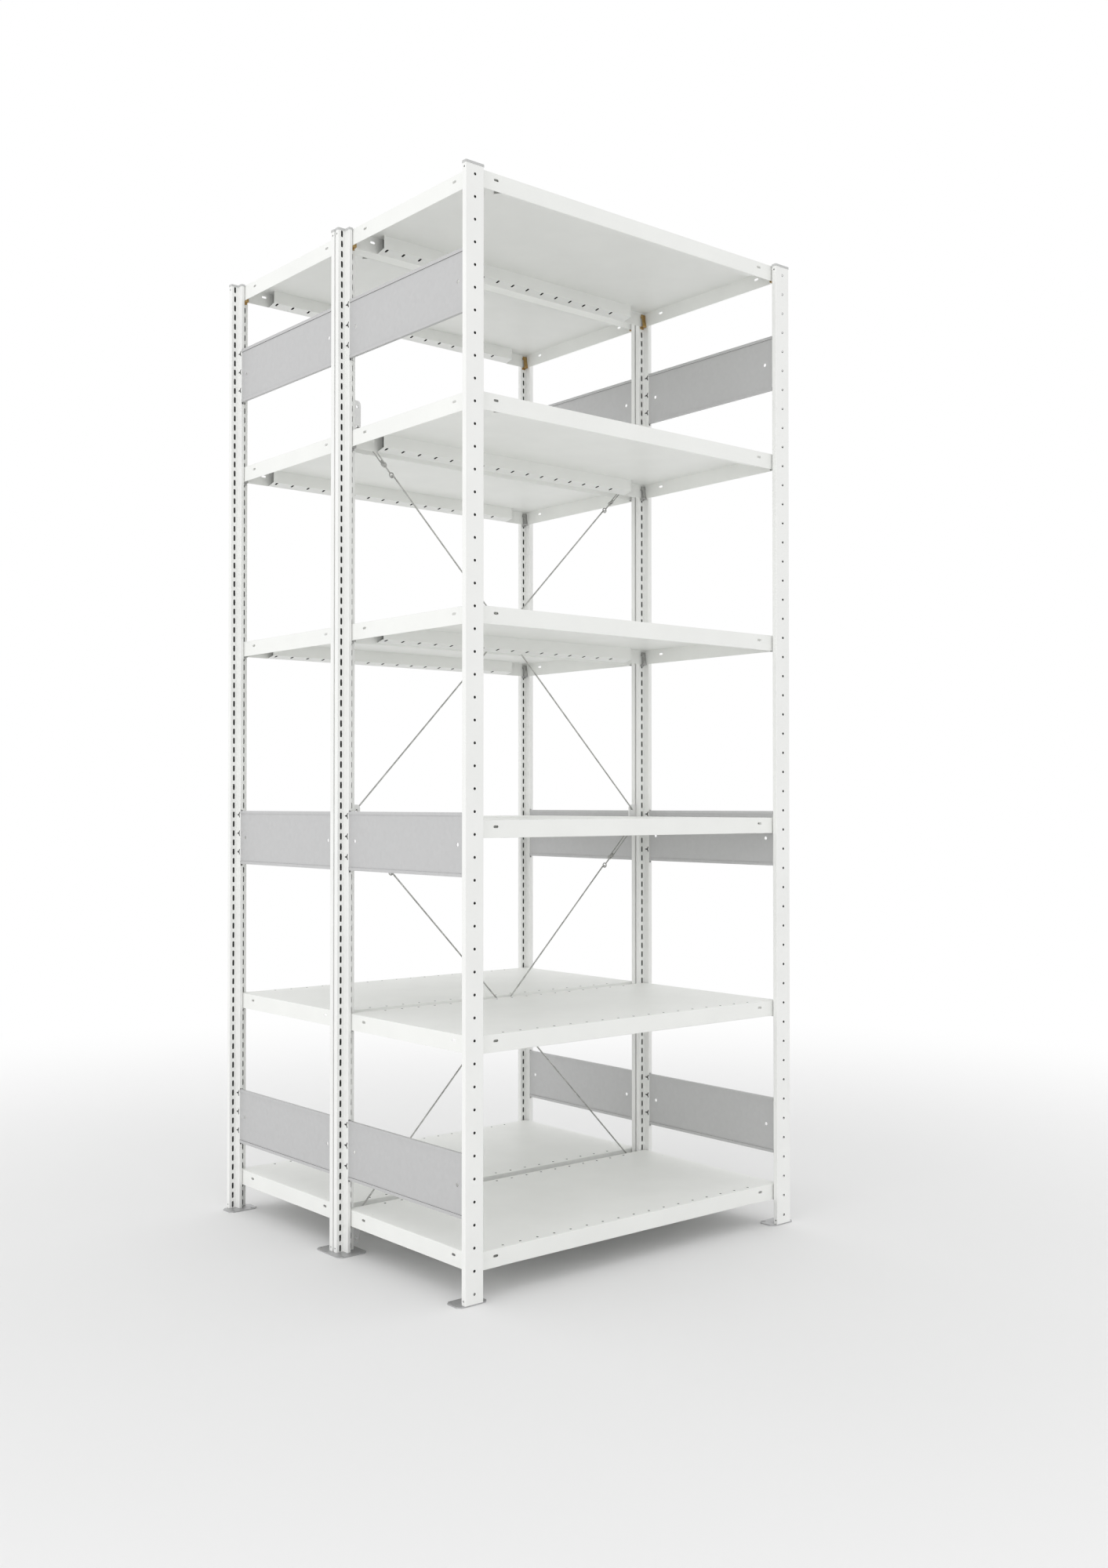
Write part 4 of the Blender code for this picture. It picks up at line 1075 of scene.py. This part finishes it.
def bracket_shape(sizes, low, high, end):
    """A brace bracket: a plate with two holes, the nodes of its free corners drawn in to quarter circles."""
    half, middle = (high.z - low.z) / 2, (high.z + low.z) / 2
    root = low.x if ENDS[end] < 0 else high.x
    upright = stem_middle(end)
    back = abs(root - upright)
    reach = (high.x - low.x) - back
    corner, hole, spacing = sizes.bracket_corner, sizes.bracket_reach, sizes.bracket_spacing / 2
    margin, step = 0.010, 0.0075
    side = [hole - margin, hole - margin / 2, hole, hole + margin / 2, reach]
    upper = np.array([spacing - 2 * step, spacing - step, spacing, spacing + step, half])
    columns = np.array([-back, (hole - margin - back) / 2, *side])
    across, along = np.meshgrid(columns, np.concatenate([-upper[::-1], upper]))
    turns = np.linspace(0, math.pi / 2, 5)
    arc = np.stack([reach - corner + corner * np.cos(turns), half - corner + corner * np.sin(turns)], axis=1)
    for sign, order in ((1, [-3, -2, -1]), (-1, [2, 1, 0])):
        across[order, -1], along[order, -1] = arc[:3, 0], sign * arc[:3, 1]
        across[order[-1], [-2, -3]], along[order[-1], [-2, -3]] = arc[3:, 0], sign * arc[3:, 1]
    cutouts = [(np.array([0, 5]), np.array([2]), 4, rim(sizes.bracket_hole))]
    flat, corners, counts = punched_pattern(across, along, cutouts)
    place = upright - ENDS[end] * flat[:, 0]
    skins = [
        np.stack([place, np.full(len(flat), level), middle + flat[:, 1]], axis=1) for level in (low.y, high.y)
    ]
    normal = np.tile([0.0, -1.0, 0.0], (len(flat), 1))
    return two_skins(corners, counts, *skins, normal)[:3]


def brace_line(sizes, start_sign, lower, upper):
    """Where a brace hangs, where it ends and its direction, from the boxes of the two brackets that carry it."""
    spots = []
    for end_sign, number, lift in ((start_sign, upper, -1), (-start_sign, lower, 1)):
        end = "right" if end_sign > 0 else "left"
        low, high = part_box(f"brace_bracket_{end}_{number}")
        height = (low.z + high.z) / 2 + lift * sizes.bracket_spacing / 2
        spots.append(np.array([stem_middle(end) - end_sign * sizes.bracket_reach, 0.0, height]))
    return *spots, unit((spots[1] - spots[0])[None])[0]


def bent_end(corner, way_in, way_out, radius, steps=6):
    """Quarter circle at a corner of a path, by the same rule as a bend of sheet."""
    angle = np.linspace(0, math.pi / 2, steps + 1)[:, None]
    return corner + radius * (way_out - way_in) + radius * (way_in * np.sin(angle) - way_out * np.cos(angle))


def rod_shape(sizes, first, last, along, across):
    """A straight rod with both ends bent back through the middle of the gap."""
    offset, tip, bend = across * sizes.rod_offset, -across * sizes.peg, sizes.rod_bend
    start = bent_end(first + offset, across, along, bend)
    finish = bent_end(last + offset, along, -across, bend)
    path = np.concatenate([[first + tip], start, finish, [last + tip]])
    return tube(path, sizes.rod / 2, np.cross(along, across), sides=12)


def tensioner_shape(sizes, hung, along, across):
    """A wire loop with a half circle through the bracket, a nut and a lock nut across its strands, a threaded
    stem and its eye."""
    turn = np.linspace(-math.pi / 2, math.pi / 2, 13)[:, None]
    half, square = sizes.loop_half, np.cross(along, across)
    axes = (across, square, along)
    bow = hung + along * half * (1 - np.cos(turn)) + across * half * np.sin(turn)
    tail = hung + along * sizes.loop_length
    path = np.concatenate([[tail - across * half], bow, [tail + across * half]])
    loop = tube(path, sizes.loop_wire / 2, square)
    # Half sizes across both strands, square to them and along them, and the softened edge
    nut_halves, nut_edge = (half + sizes.loop_wire / 2 + sizes.nut_wall, 0.0028, 0.0040), 0.0006
    lock_halves, lock_edge, nut_back = (0.0038, 0.0036, 0.0020), 0.0009, 0.002
    nut_middle = tail - along * nut_back
    nut = rounded_bar(nut_middle, axes, nut_halves, nut_edge)
    lock = rounded_bar(nut_middle + along * sizes.lock_distance, axes, lock_halves, lock_edge)
    points, thread = 40, 0.06
    start, end = sizes.loop_length - sizes.stem_overlap, sizes.eye_distance - sizes.eye_radius
    distance = np.linspace(start, end, points)
    ridge = sizes.eye_stem / 2 * (1 - thread * (np.arange(points) % 2))
    angle = 2 * math.pi * np.arange(10)[:, None] / 10
    spokes = across * np.cos(angle) + square * np.sin(angle)
    stem = lofted(hung + (along * distance[:, None])[:, None] + ridge[:, None, None] * spokes)
    eye = torus(hung + along * sizes.eye_distance, along, square, sizes.eye_radius, sizes.eye_wire / 2)
    return joined([loop, nut, lock, stem, eye])


# ---------------------------------------------------------------- operators


class SHELVING_OT_posts(bpy.types.Operator):
    """Make the eight punched uprights"""

    bl_idname = "shelving.posts"
    bl_label = "Uprights"

    def execute(self, context):
        sizes = context.scene.shelving_posts
        low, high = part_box("upright_front_left_outer")
        panels = [[corner.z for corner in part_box(f"end_panel_front_left_{number}")] for number in HEIGHTS]
        shape = post_shape(sizes, low.z, high.z, panels)
        # The second material paints the shade inside the uprights.
        coat, inside = finish_of("post_powder_coat"), finish_of("post_painted_shade")
        for name, stem_sign, _, _ in post_names():
            post = moved(shape, stem_sign, post_spot(name, stem_sign))
            add_piece(f"post_{name}", post, coat, "frame", [f"upright_{name}"], inside)
        return {"FINISHED"}


class SHELVING_OT_caps(bpy.types.Operator):
    """Make the grey cap on top of each upright"""

    bl_idname = "shelving.caps"
    bl_label = "Caps"

    def execute(self, context):
        sizes = context.scene.shelving_posts
        low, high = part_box("cap_front_left_outer")
        post_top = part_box("upright_front_left_outer")[1].z
        shape = cap_shape(sizes, low.z, high.z, post_top)
        for name, stem_sign, _, _ in post_names():
            cap = moved(shape, stem_sign, post_spot(name, stem_sign))
            plastic = finish_of("cap_grey_plastic")
            add_piece(f"post_cap_{name}", cap, plastic, "frame", [f"cap_{name}"])
        return {"FINISHED"}


class SHELVING_OT_clinches(bpy.types.Operator):
    """Make the pressed stars that hold the end panels in the stems"""

    bl_idname = "shelving.clinches"
    bl_label = "Clinches"

    def execute(self, context):
        sizes = context.scene.shelving_posts
        tops = [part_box(f"end_panel_front_left_{number}")[1].z for number in HEIGHTS]
        for name, stem_sign, _, end_sign in post_names():
            sides = (-1, 1) if name.endswith("inner") else (end_sign * stem_sign,)
            shape = joined([clinch_shape(sizes, tops, side) for side in sides])
            stars = moved(shape, stem_sign, post_spot(name, stem_sign))
            # The stars' near-black colour paints the shade of the pressed dents.
            add_piece(f"clinches_{name}", stars, finish_of("clinch_painted_shade"), "frame")
        return {"FINISHED"}


class SHELVING_OT_clips(bpy.types.Operator):
    """Make the shelf clips, yellow at the top level and grey at the others"""

    bl_idname = "shelving.clips"
    bl_label = "Shelf clips"

    def execute(self, context):
        sizes, posts = context.scene.shelving_clips, context.scene.shelving_posts
        for name, stem_sign, shelf_side, _ in post_names():
            spot = post_spot(name, stem_sign)
            bay = name.split("_")[0]
            middle = shelf_side * posts.slot_offset
            clips = []
            for level in LEVELS:
                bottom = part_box(f"shelf_{bay}_{level}")[0].z
                clips.append(clip_strip(sizes, posts.head_depth, bottom, middle, shelf_side))
            grey = moved(joined([part for clip in clips[:-1] for part in clip]), stem_sign, spot)
            add_piece(f"clips_{name}", grey, finish_of("clip_steel"), "frame")
            top = moved(joined(clips[-1]), stem_sign, spot)
            add_piece(f"top_clip_{name}", top, finish_of("clip_yellow_zinc"), "frame")
        return {"FINISHED"}


class SHELVING_OT_foot_plates(bpy.types.Operator):
    """Make the six foot plates with their anchor holes and tabs"""

    bl_idname = "shelving.foot_plates"
    bl_label = "Foot plates"

    def execute(self, context):
        sizes = context.scene.shelving_fittings
        lines = {
            "front": [("front", "outer")],
            "middle": [("front", "inner"), ("rear", "inner")],
            "rear": [("rear", "outer")],
        }
        for where, uprights in lines.items():
            for end, end_sign in ENDS.items():
                node = f"foot_plate_{where}_{end}"
                low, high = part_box(node)
                middle = (low.x + high.x) / 2
                stems, parts = [], []
                for bay, line in uprights:
                    stem_sign = -BAYS[bay] if line == "outer" else BAYS[bay]
                    stems.append(stem_sign)
                    face = post_spot(f"{bay}_{end}_{line}", stem_sign)[1]
                    parts.append(tab_shape(sizes, face, stem_sign, middle, high.z))
                parts.append(plate_shape(sizes, low, high, middle, end_sign, stems))
                plate, zinc = joined(parts), finish_of("foot_plate_galvanised")
                add_piece(f"floor_plate_{where}_{end}", plate, zinc, "frame", [node])
        return {"FINISHED"}


class SHELVING_OT_shelves(bpy.types.Operator):
    """Make the twelve pressed shelves"""

    bl_idname = "shelving.shelves"
    bl_label = "Shelves"

    def execute(self, context):
        sizes = context.scene.shelving_trays
        # The second material paints the shade inside the shelves' folds.
        coat, inside = finish_of("tray_powder_coat"), finish_of("tray_painted_shade")
        for bay in BAYS:
            for level in LEVELS:
                node = f"shelf_{bay}_{level}"
                tray = tray_shape(sizes, *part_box(node))
                add_piece(f"tray_{bay}_{level}", tray, coat, node, [node], inside)
        return {"FINISHED"}


class SHELVING_OT_panels(bpy.types.Operator):
    """Make the twelve galvanised end panels"""

    bl_idname = "shelving.panels"
    bl_label = "End panels"

    def execute(self, context):
        sizes = context.scene.shelving_fittings
        # The hems' cut edges take a near-black colour, partly bare steel and partly painted shade.
        zinc, painted_shade_edges = finish_of("panel_galvanised"), finish_of("panel_raw_edge_and_painted_shade")
        for bay in BAYS:
            for end in ENDS:
                for number in HEIGHTS:
                    node = f"end_panel_{bay}_{end}_{number}"
                    panel, name = panel_shape(sizes, *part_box(node)), f"end_channel_{bay}_{end}_{number}"
                    add_piece(name, panel, zinc, "frame", [node], painted_shade_edges)
        return {"FINISHED"}


class SHELVING_OT_bracing(bpy.types.Operator):
    """Make the brackets, rods and tensioners of the cross bracing"""

    bl_idname = "shelving.bracing"
    bl_label = "Bracing"

    def execute(self, context):
        sizes = context.scene.shelving_fittings
        for end in ENDS:
            for number in HEIGHTS:
                node = f"brace_bracket_{end}_{number}"
                bracket, zinc = bracket_shape(sizes, *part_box(node), end), finish_of("bracket_zinc")
                add_piece(f"gap_bracket_{end}_{number}", bracket, zinc, "frame", [node])
        eye_play = sizes.eye_radius - sizes.eye_wire / 2 - sizes.rod / 2 - sizes.fit
        hole_play = sizes.bracket_hole / 2 * math.cos(math.pi / 8) - sizes.rod / 2 - sizes.fit
        for field, lower, upper in (("lower", 1, 2), ("upper", 2, 3)):
            for lean, start_sign in (("falling", -1), ("rising", 1)):
                hung, held, along = brace_line(sizes, start_sign, lower, upper)
                across = np.array([0.0, start_sign, 0.0])
                eye = hung + along * (sizes.loop_play + sizes.eye_distance)
                rod = rod_shape(sizes, eye + along * eye_play, held - along * hole_play, along, across)
                node = f"brace_rod_{field}_{lean}"
                wire, zinc = finish_of("brace_wire_zinc"), finish_of("tensioner_zinc")
                add_piece(f"tie_rod_{field}_{lean}", rod, wire, "frame", [node])
                link = tensioner_shape(sizes, hung + along * sizes.loop_play, along, np.array([0.0, 1.0, 0.0]))
                node = f"brace_tensioner_{field}_{lean}"
                add_piece(f"tie_link_{field}_{lean}", link, zinc, "frame", [node])
        return {"FINISHED"}


class SHELVING_OT_stage(bpy.types.Operator):
    """Make the floor, the soft light and the camera"""

    bl_idname = "shelving.stage"
    bl_label = "Stage"

    def execute(self, context):
        stage = context.scene.shelving_stage
        make_floor(stage)
        make_world(stage)
        make_side_lamp(stage)
        make_camera(stage)
        context.scene.view_settings.view_transform = "Standard"
        return {"FINISHED"}


# ---------------------------------------------------------------- stage


def seen_directly(tree):
    """1 for a ray that comes from the camera, a reflection or a transmission."""
    rays = link_node(tree, "ShaderNodeLightPath").outputs
    seen = rays["Is Camera Ray"]
    for kind in ("Is Glossy Ray", "Is Transmission Ray"):
        seen = link_node(tree, "ShaderNodeMath", {0: seen, 1: rays[kind]}, operation="MAXIMUM").outputs[0]
    return seen


def make_floor(stage):
    """A wide floor that fades to white with the distance from the object."""
    half = stage.floor_half
    corners = [(-half, -half, 0.0), (half, -half, 0.0), (half, half, 0.0), (-half, half, 0.0)]
    mesh = bpy.data.meshes.new("floor")
    mesh.from_pydata(corners, [], [(0, 1, 2, 3)])
    floor = bpy.data.objects.new("floor", mesh)
    bpy.context.scene.collection.objects.link(floor)
    material, tree, shader = start_material("studio_floor")
    point = object_point(tree)
    patch = spread(tree, noise(tree, point, 0.8), 0.0, 1.0)
    colours = scaled(stage.floor, 0.995), scaled(stage.floor, 1.005)
    tree.links.new(tinted(tree, patch, *colours), shader.inputs["Base Color"])
    shader.inputs["Roughness"].default_value = 0.85
    shader.inputs["Specular IOR Level"].default_value = 0.1
    reach = link_node(tree, "ShaderNodeVectorMath", {0: point}, operation="LENGTH").outputs["Value"]
    sockets = {"Value": reach, "From Min": stage.fade_start, "From Max": stage.fade_end}
    fade = link_node(tree, "ShaderNodeMapRange", sockets, interpolation_type="SMOOTHSTEP")
    sockets = {0: fade.outputs["Result"], 1: seen_directly(tree)}
    factor = link_node(tree, "ShaderNodeMath", sockets, operation="MULTIPLY")
    white = link_node(tree, "ShaderNodeEmission", {"Color": WHITE, "Strength": 1.0})
    sockets = {0: factor.outputs[0], 1: shader.outputs[0], 2: white.outputs[0]}
    mix = link_node(tree, "ShaderNodeMixShader", sockets)
    tree.links.new(mix.outputs[0], tree.nodes["Material Output"].inputs["Surface"])
    mesh.materials.append(material)


def make_world(stage):
    """Even light all round, and white for whatever is seen directly."""
    world = bpy.data.worlds.new("studio")
    world.use_nodes = True
    tree = world.node_tree
    tree.nodes.clear()
    soft = link_node(tree, "ShaderNodeBackground", {"Color": WHITE, "Strength": stage.ambient})
    white = link_node(tree, "ShaderNodeBackground", {"Color": WHITE, "Strength": 1.0})
    sockets = {0: seen_directly(tree), 1: soft.outputs[0], 2: white.outputs[0]}
    mix = link_node(tree, "ShaderNodeMixShader", sockets)
    link_node(tree, "ShaderNodeOutputWorld", {"Surface": mix.outputs[0]})
    bpy.context.scene.world = world


def make_side_lamp(stage):
    """One large soft lamp on the left, a little in front of the unit."""
    lamp = bpy.data.lights.new("side_lamp", "AREA")
    lamp.shape = "RECTANGLE"
    lamp.size, lamp.size_y = stage.lamp_width, stage.lamp_height
    lamp.energy = stage.side_lamp
    light = bpy.data.objects.new("side_lamp", lamp)
    bpy.context.scene.collection.objects.link(light)
    aim_at(light, stage.lamp_place, np.subtract(stage.lamp_target, stage.lamp_place))


def make_camera(stage):
    """The camera of the photograph."""
    data = bpy.data.cameras.new("camera")
    data.sensor_width = 36.0
    data.lens = stage.focal
    data.clip_start, data.clip_end = 0.05, 200.0
    camera = bpy.data.objects.new("camera", data)
    bpy.context.scene.collection.objects.link(camera)
    yaw, pitch = stage.camera_yaw, stage.camera_pitch
    way = (math.cos(pitch) * math.cos(yaw), math.cos(pitch) * math.sin(yaw), math.sin(pitch))
    aim_at(camera, stage.camera_place, way)
    bpy.context.scene.camera = camera


def aim_at(thing, spot, way):
    """Puts a thing at a spot, looking along a direction, with its top up."""
    way = np.asarray(way, float) / np.linalg.norm(way)
    right = np.cross(way, (0.0, 0.0, 1.0))
    right /= np.linalg.norm(right)
    matrix = np.eye(4)
    matrix[:3, 0], matrix[:3, 1], matrix[:3, 2] = right, np.cross(right, way), -way
    matrix[:3, 3] = spot
    thing.matrix_world = Matrix(matrix.tolist())


# ---------------------------------------------------------------- add-on


class SHELVING_PT_pieces(bpy.types.Panel):
    """Lists the pieces of the shelving unit"""

    bl_label = "Shelving unit"
    bl_idname = "SHELVING_PT_pieces"
    bl_space_type = "VIEW_3D"
    bl_region_type = "UI"
    bl_category = "Shelving"

    def draw(self, context):
        for operator in OPERATORS:
            self.layout.operator(operator.bl_idname)
        for group in SETTINGS:
            box = self.layout.box()
            box.label(text=group.__doc__)
            settings = getattr(context.scene, SETTINGS[group])
            for name in group.__annotations__:
                box.prop(settings, name)


SETTINGS = {
    PostSettings: "shelving_posts",
    ClipSettings: "shelving_clips",
    TraySettings: "shelving_trays",
    FittingSettings: "shelving_fittings",
    FinishSettings: "shelving_finishes",
    StageSettings: "shelving_stage",
}

OPERATORS = (
    SHELVING_OT_posts,
    SHELVING_OT_caps,
    SHELVING_OT_clinches,
    SHELVING_OT_clips,
    SHELVING_OT_foot_plates,
    SHELVING_OT_shelves,
    SHELVING_OT_panels,
    SHELVING_OT_bracing,
    SHELVING_OT_stage,
)


def register():
    for group, name in SETTINGS.items():
        bpy.utils.register_class(group)
        setattr(bpy.types.Scene, name, PointerProperty(type=group))
    for operator in OPERATORS:
        bpy.utils.register_class(operator)
    bpy.utils.register_class(SHELVING_PT_pieces)


def unregister():
    bpy.utils.unregister_class(SHELVING_PT_pieces)
    for operator in reversed(OPERATORS):
        bpy.utils.unregister_class(operator)
    for group, name in SETTINGS.items():
        delattr(bpy.types.Scene, name)
        bpy.utils.unregister_class(group)


def main():
    register()
    bpy.ops.shelving.posts()
    bpy.ops.shelving.caps()
    bpy.ops.shelving.clinches()
    bpy.ops.shelving.clips()
    bpy.ops.shelving.foot_plates()
    bpy.ops.shelving.shelves()
    bpy.ops.shelving.panels()
    bpy.ops.shelving.bracing()
    bpy.ops.shelving.stage()


if __name__ == "__main__":
    main()
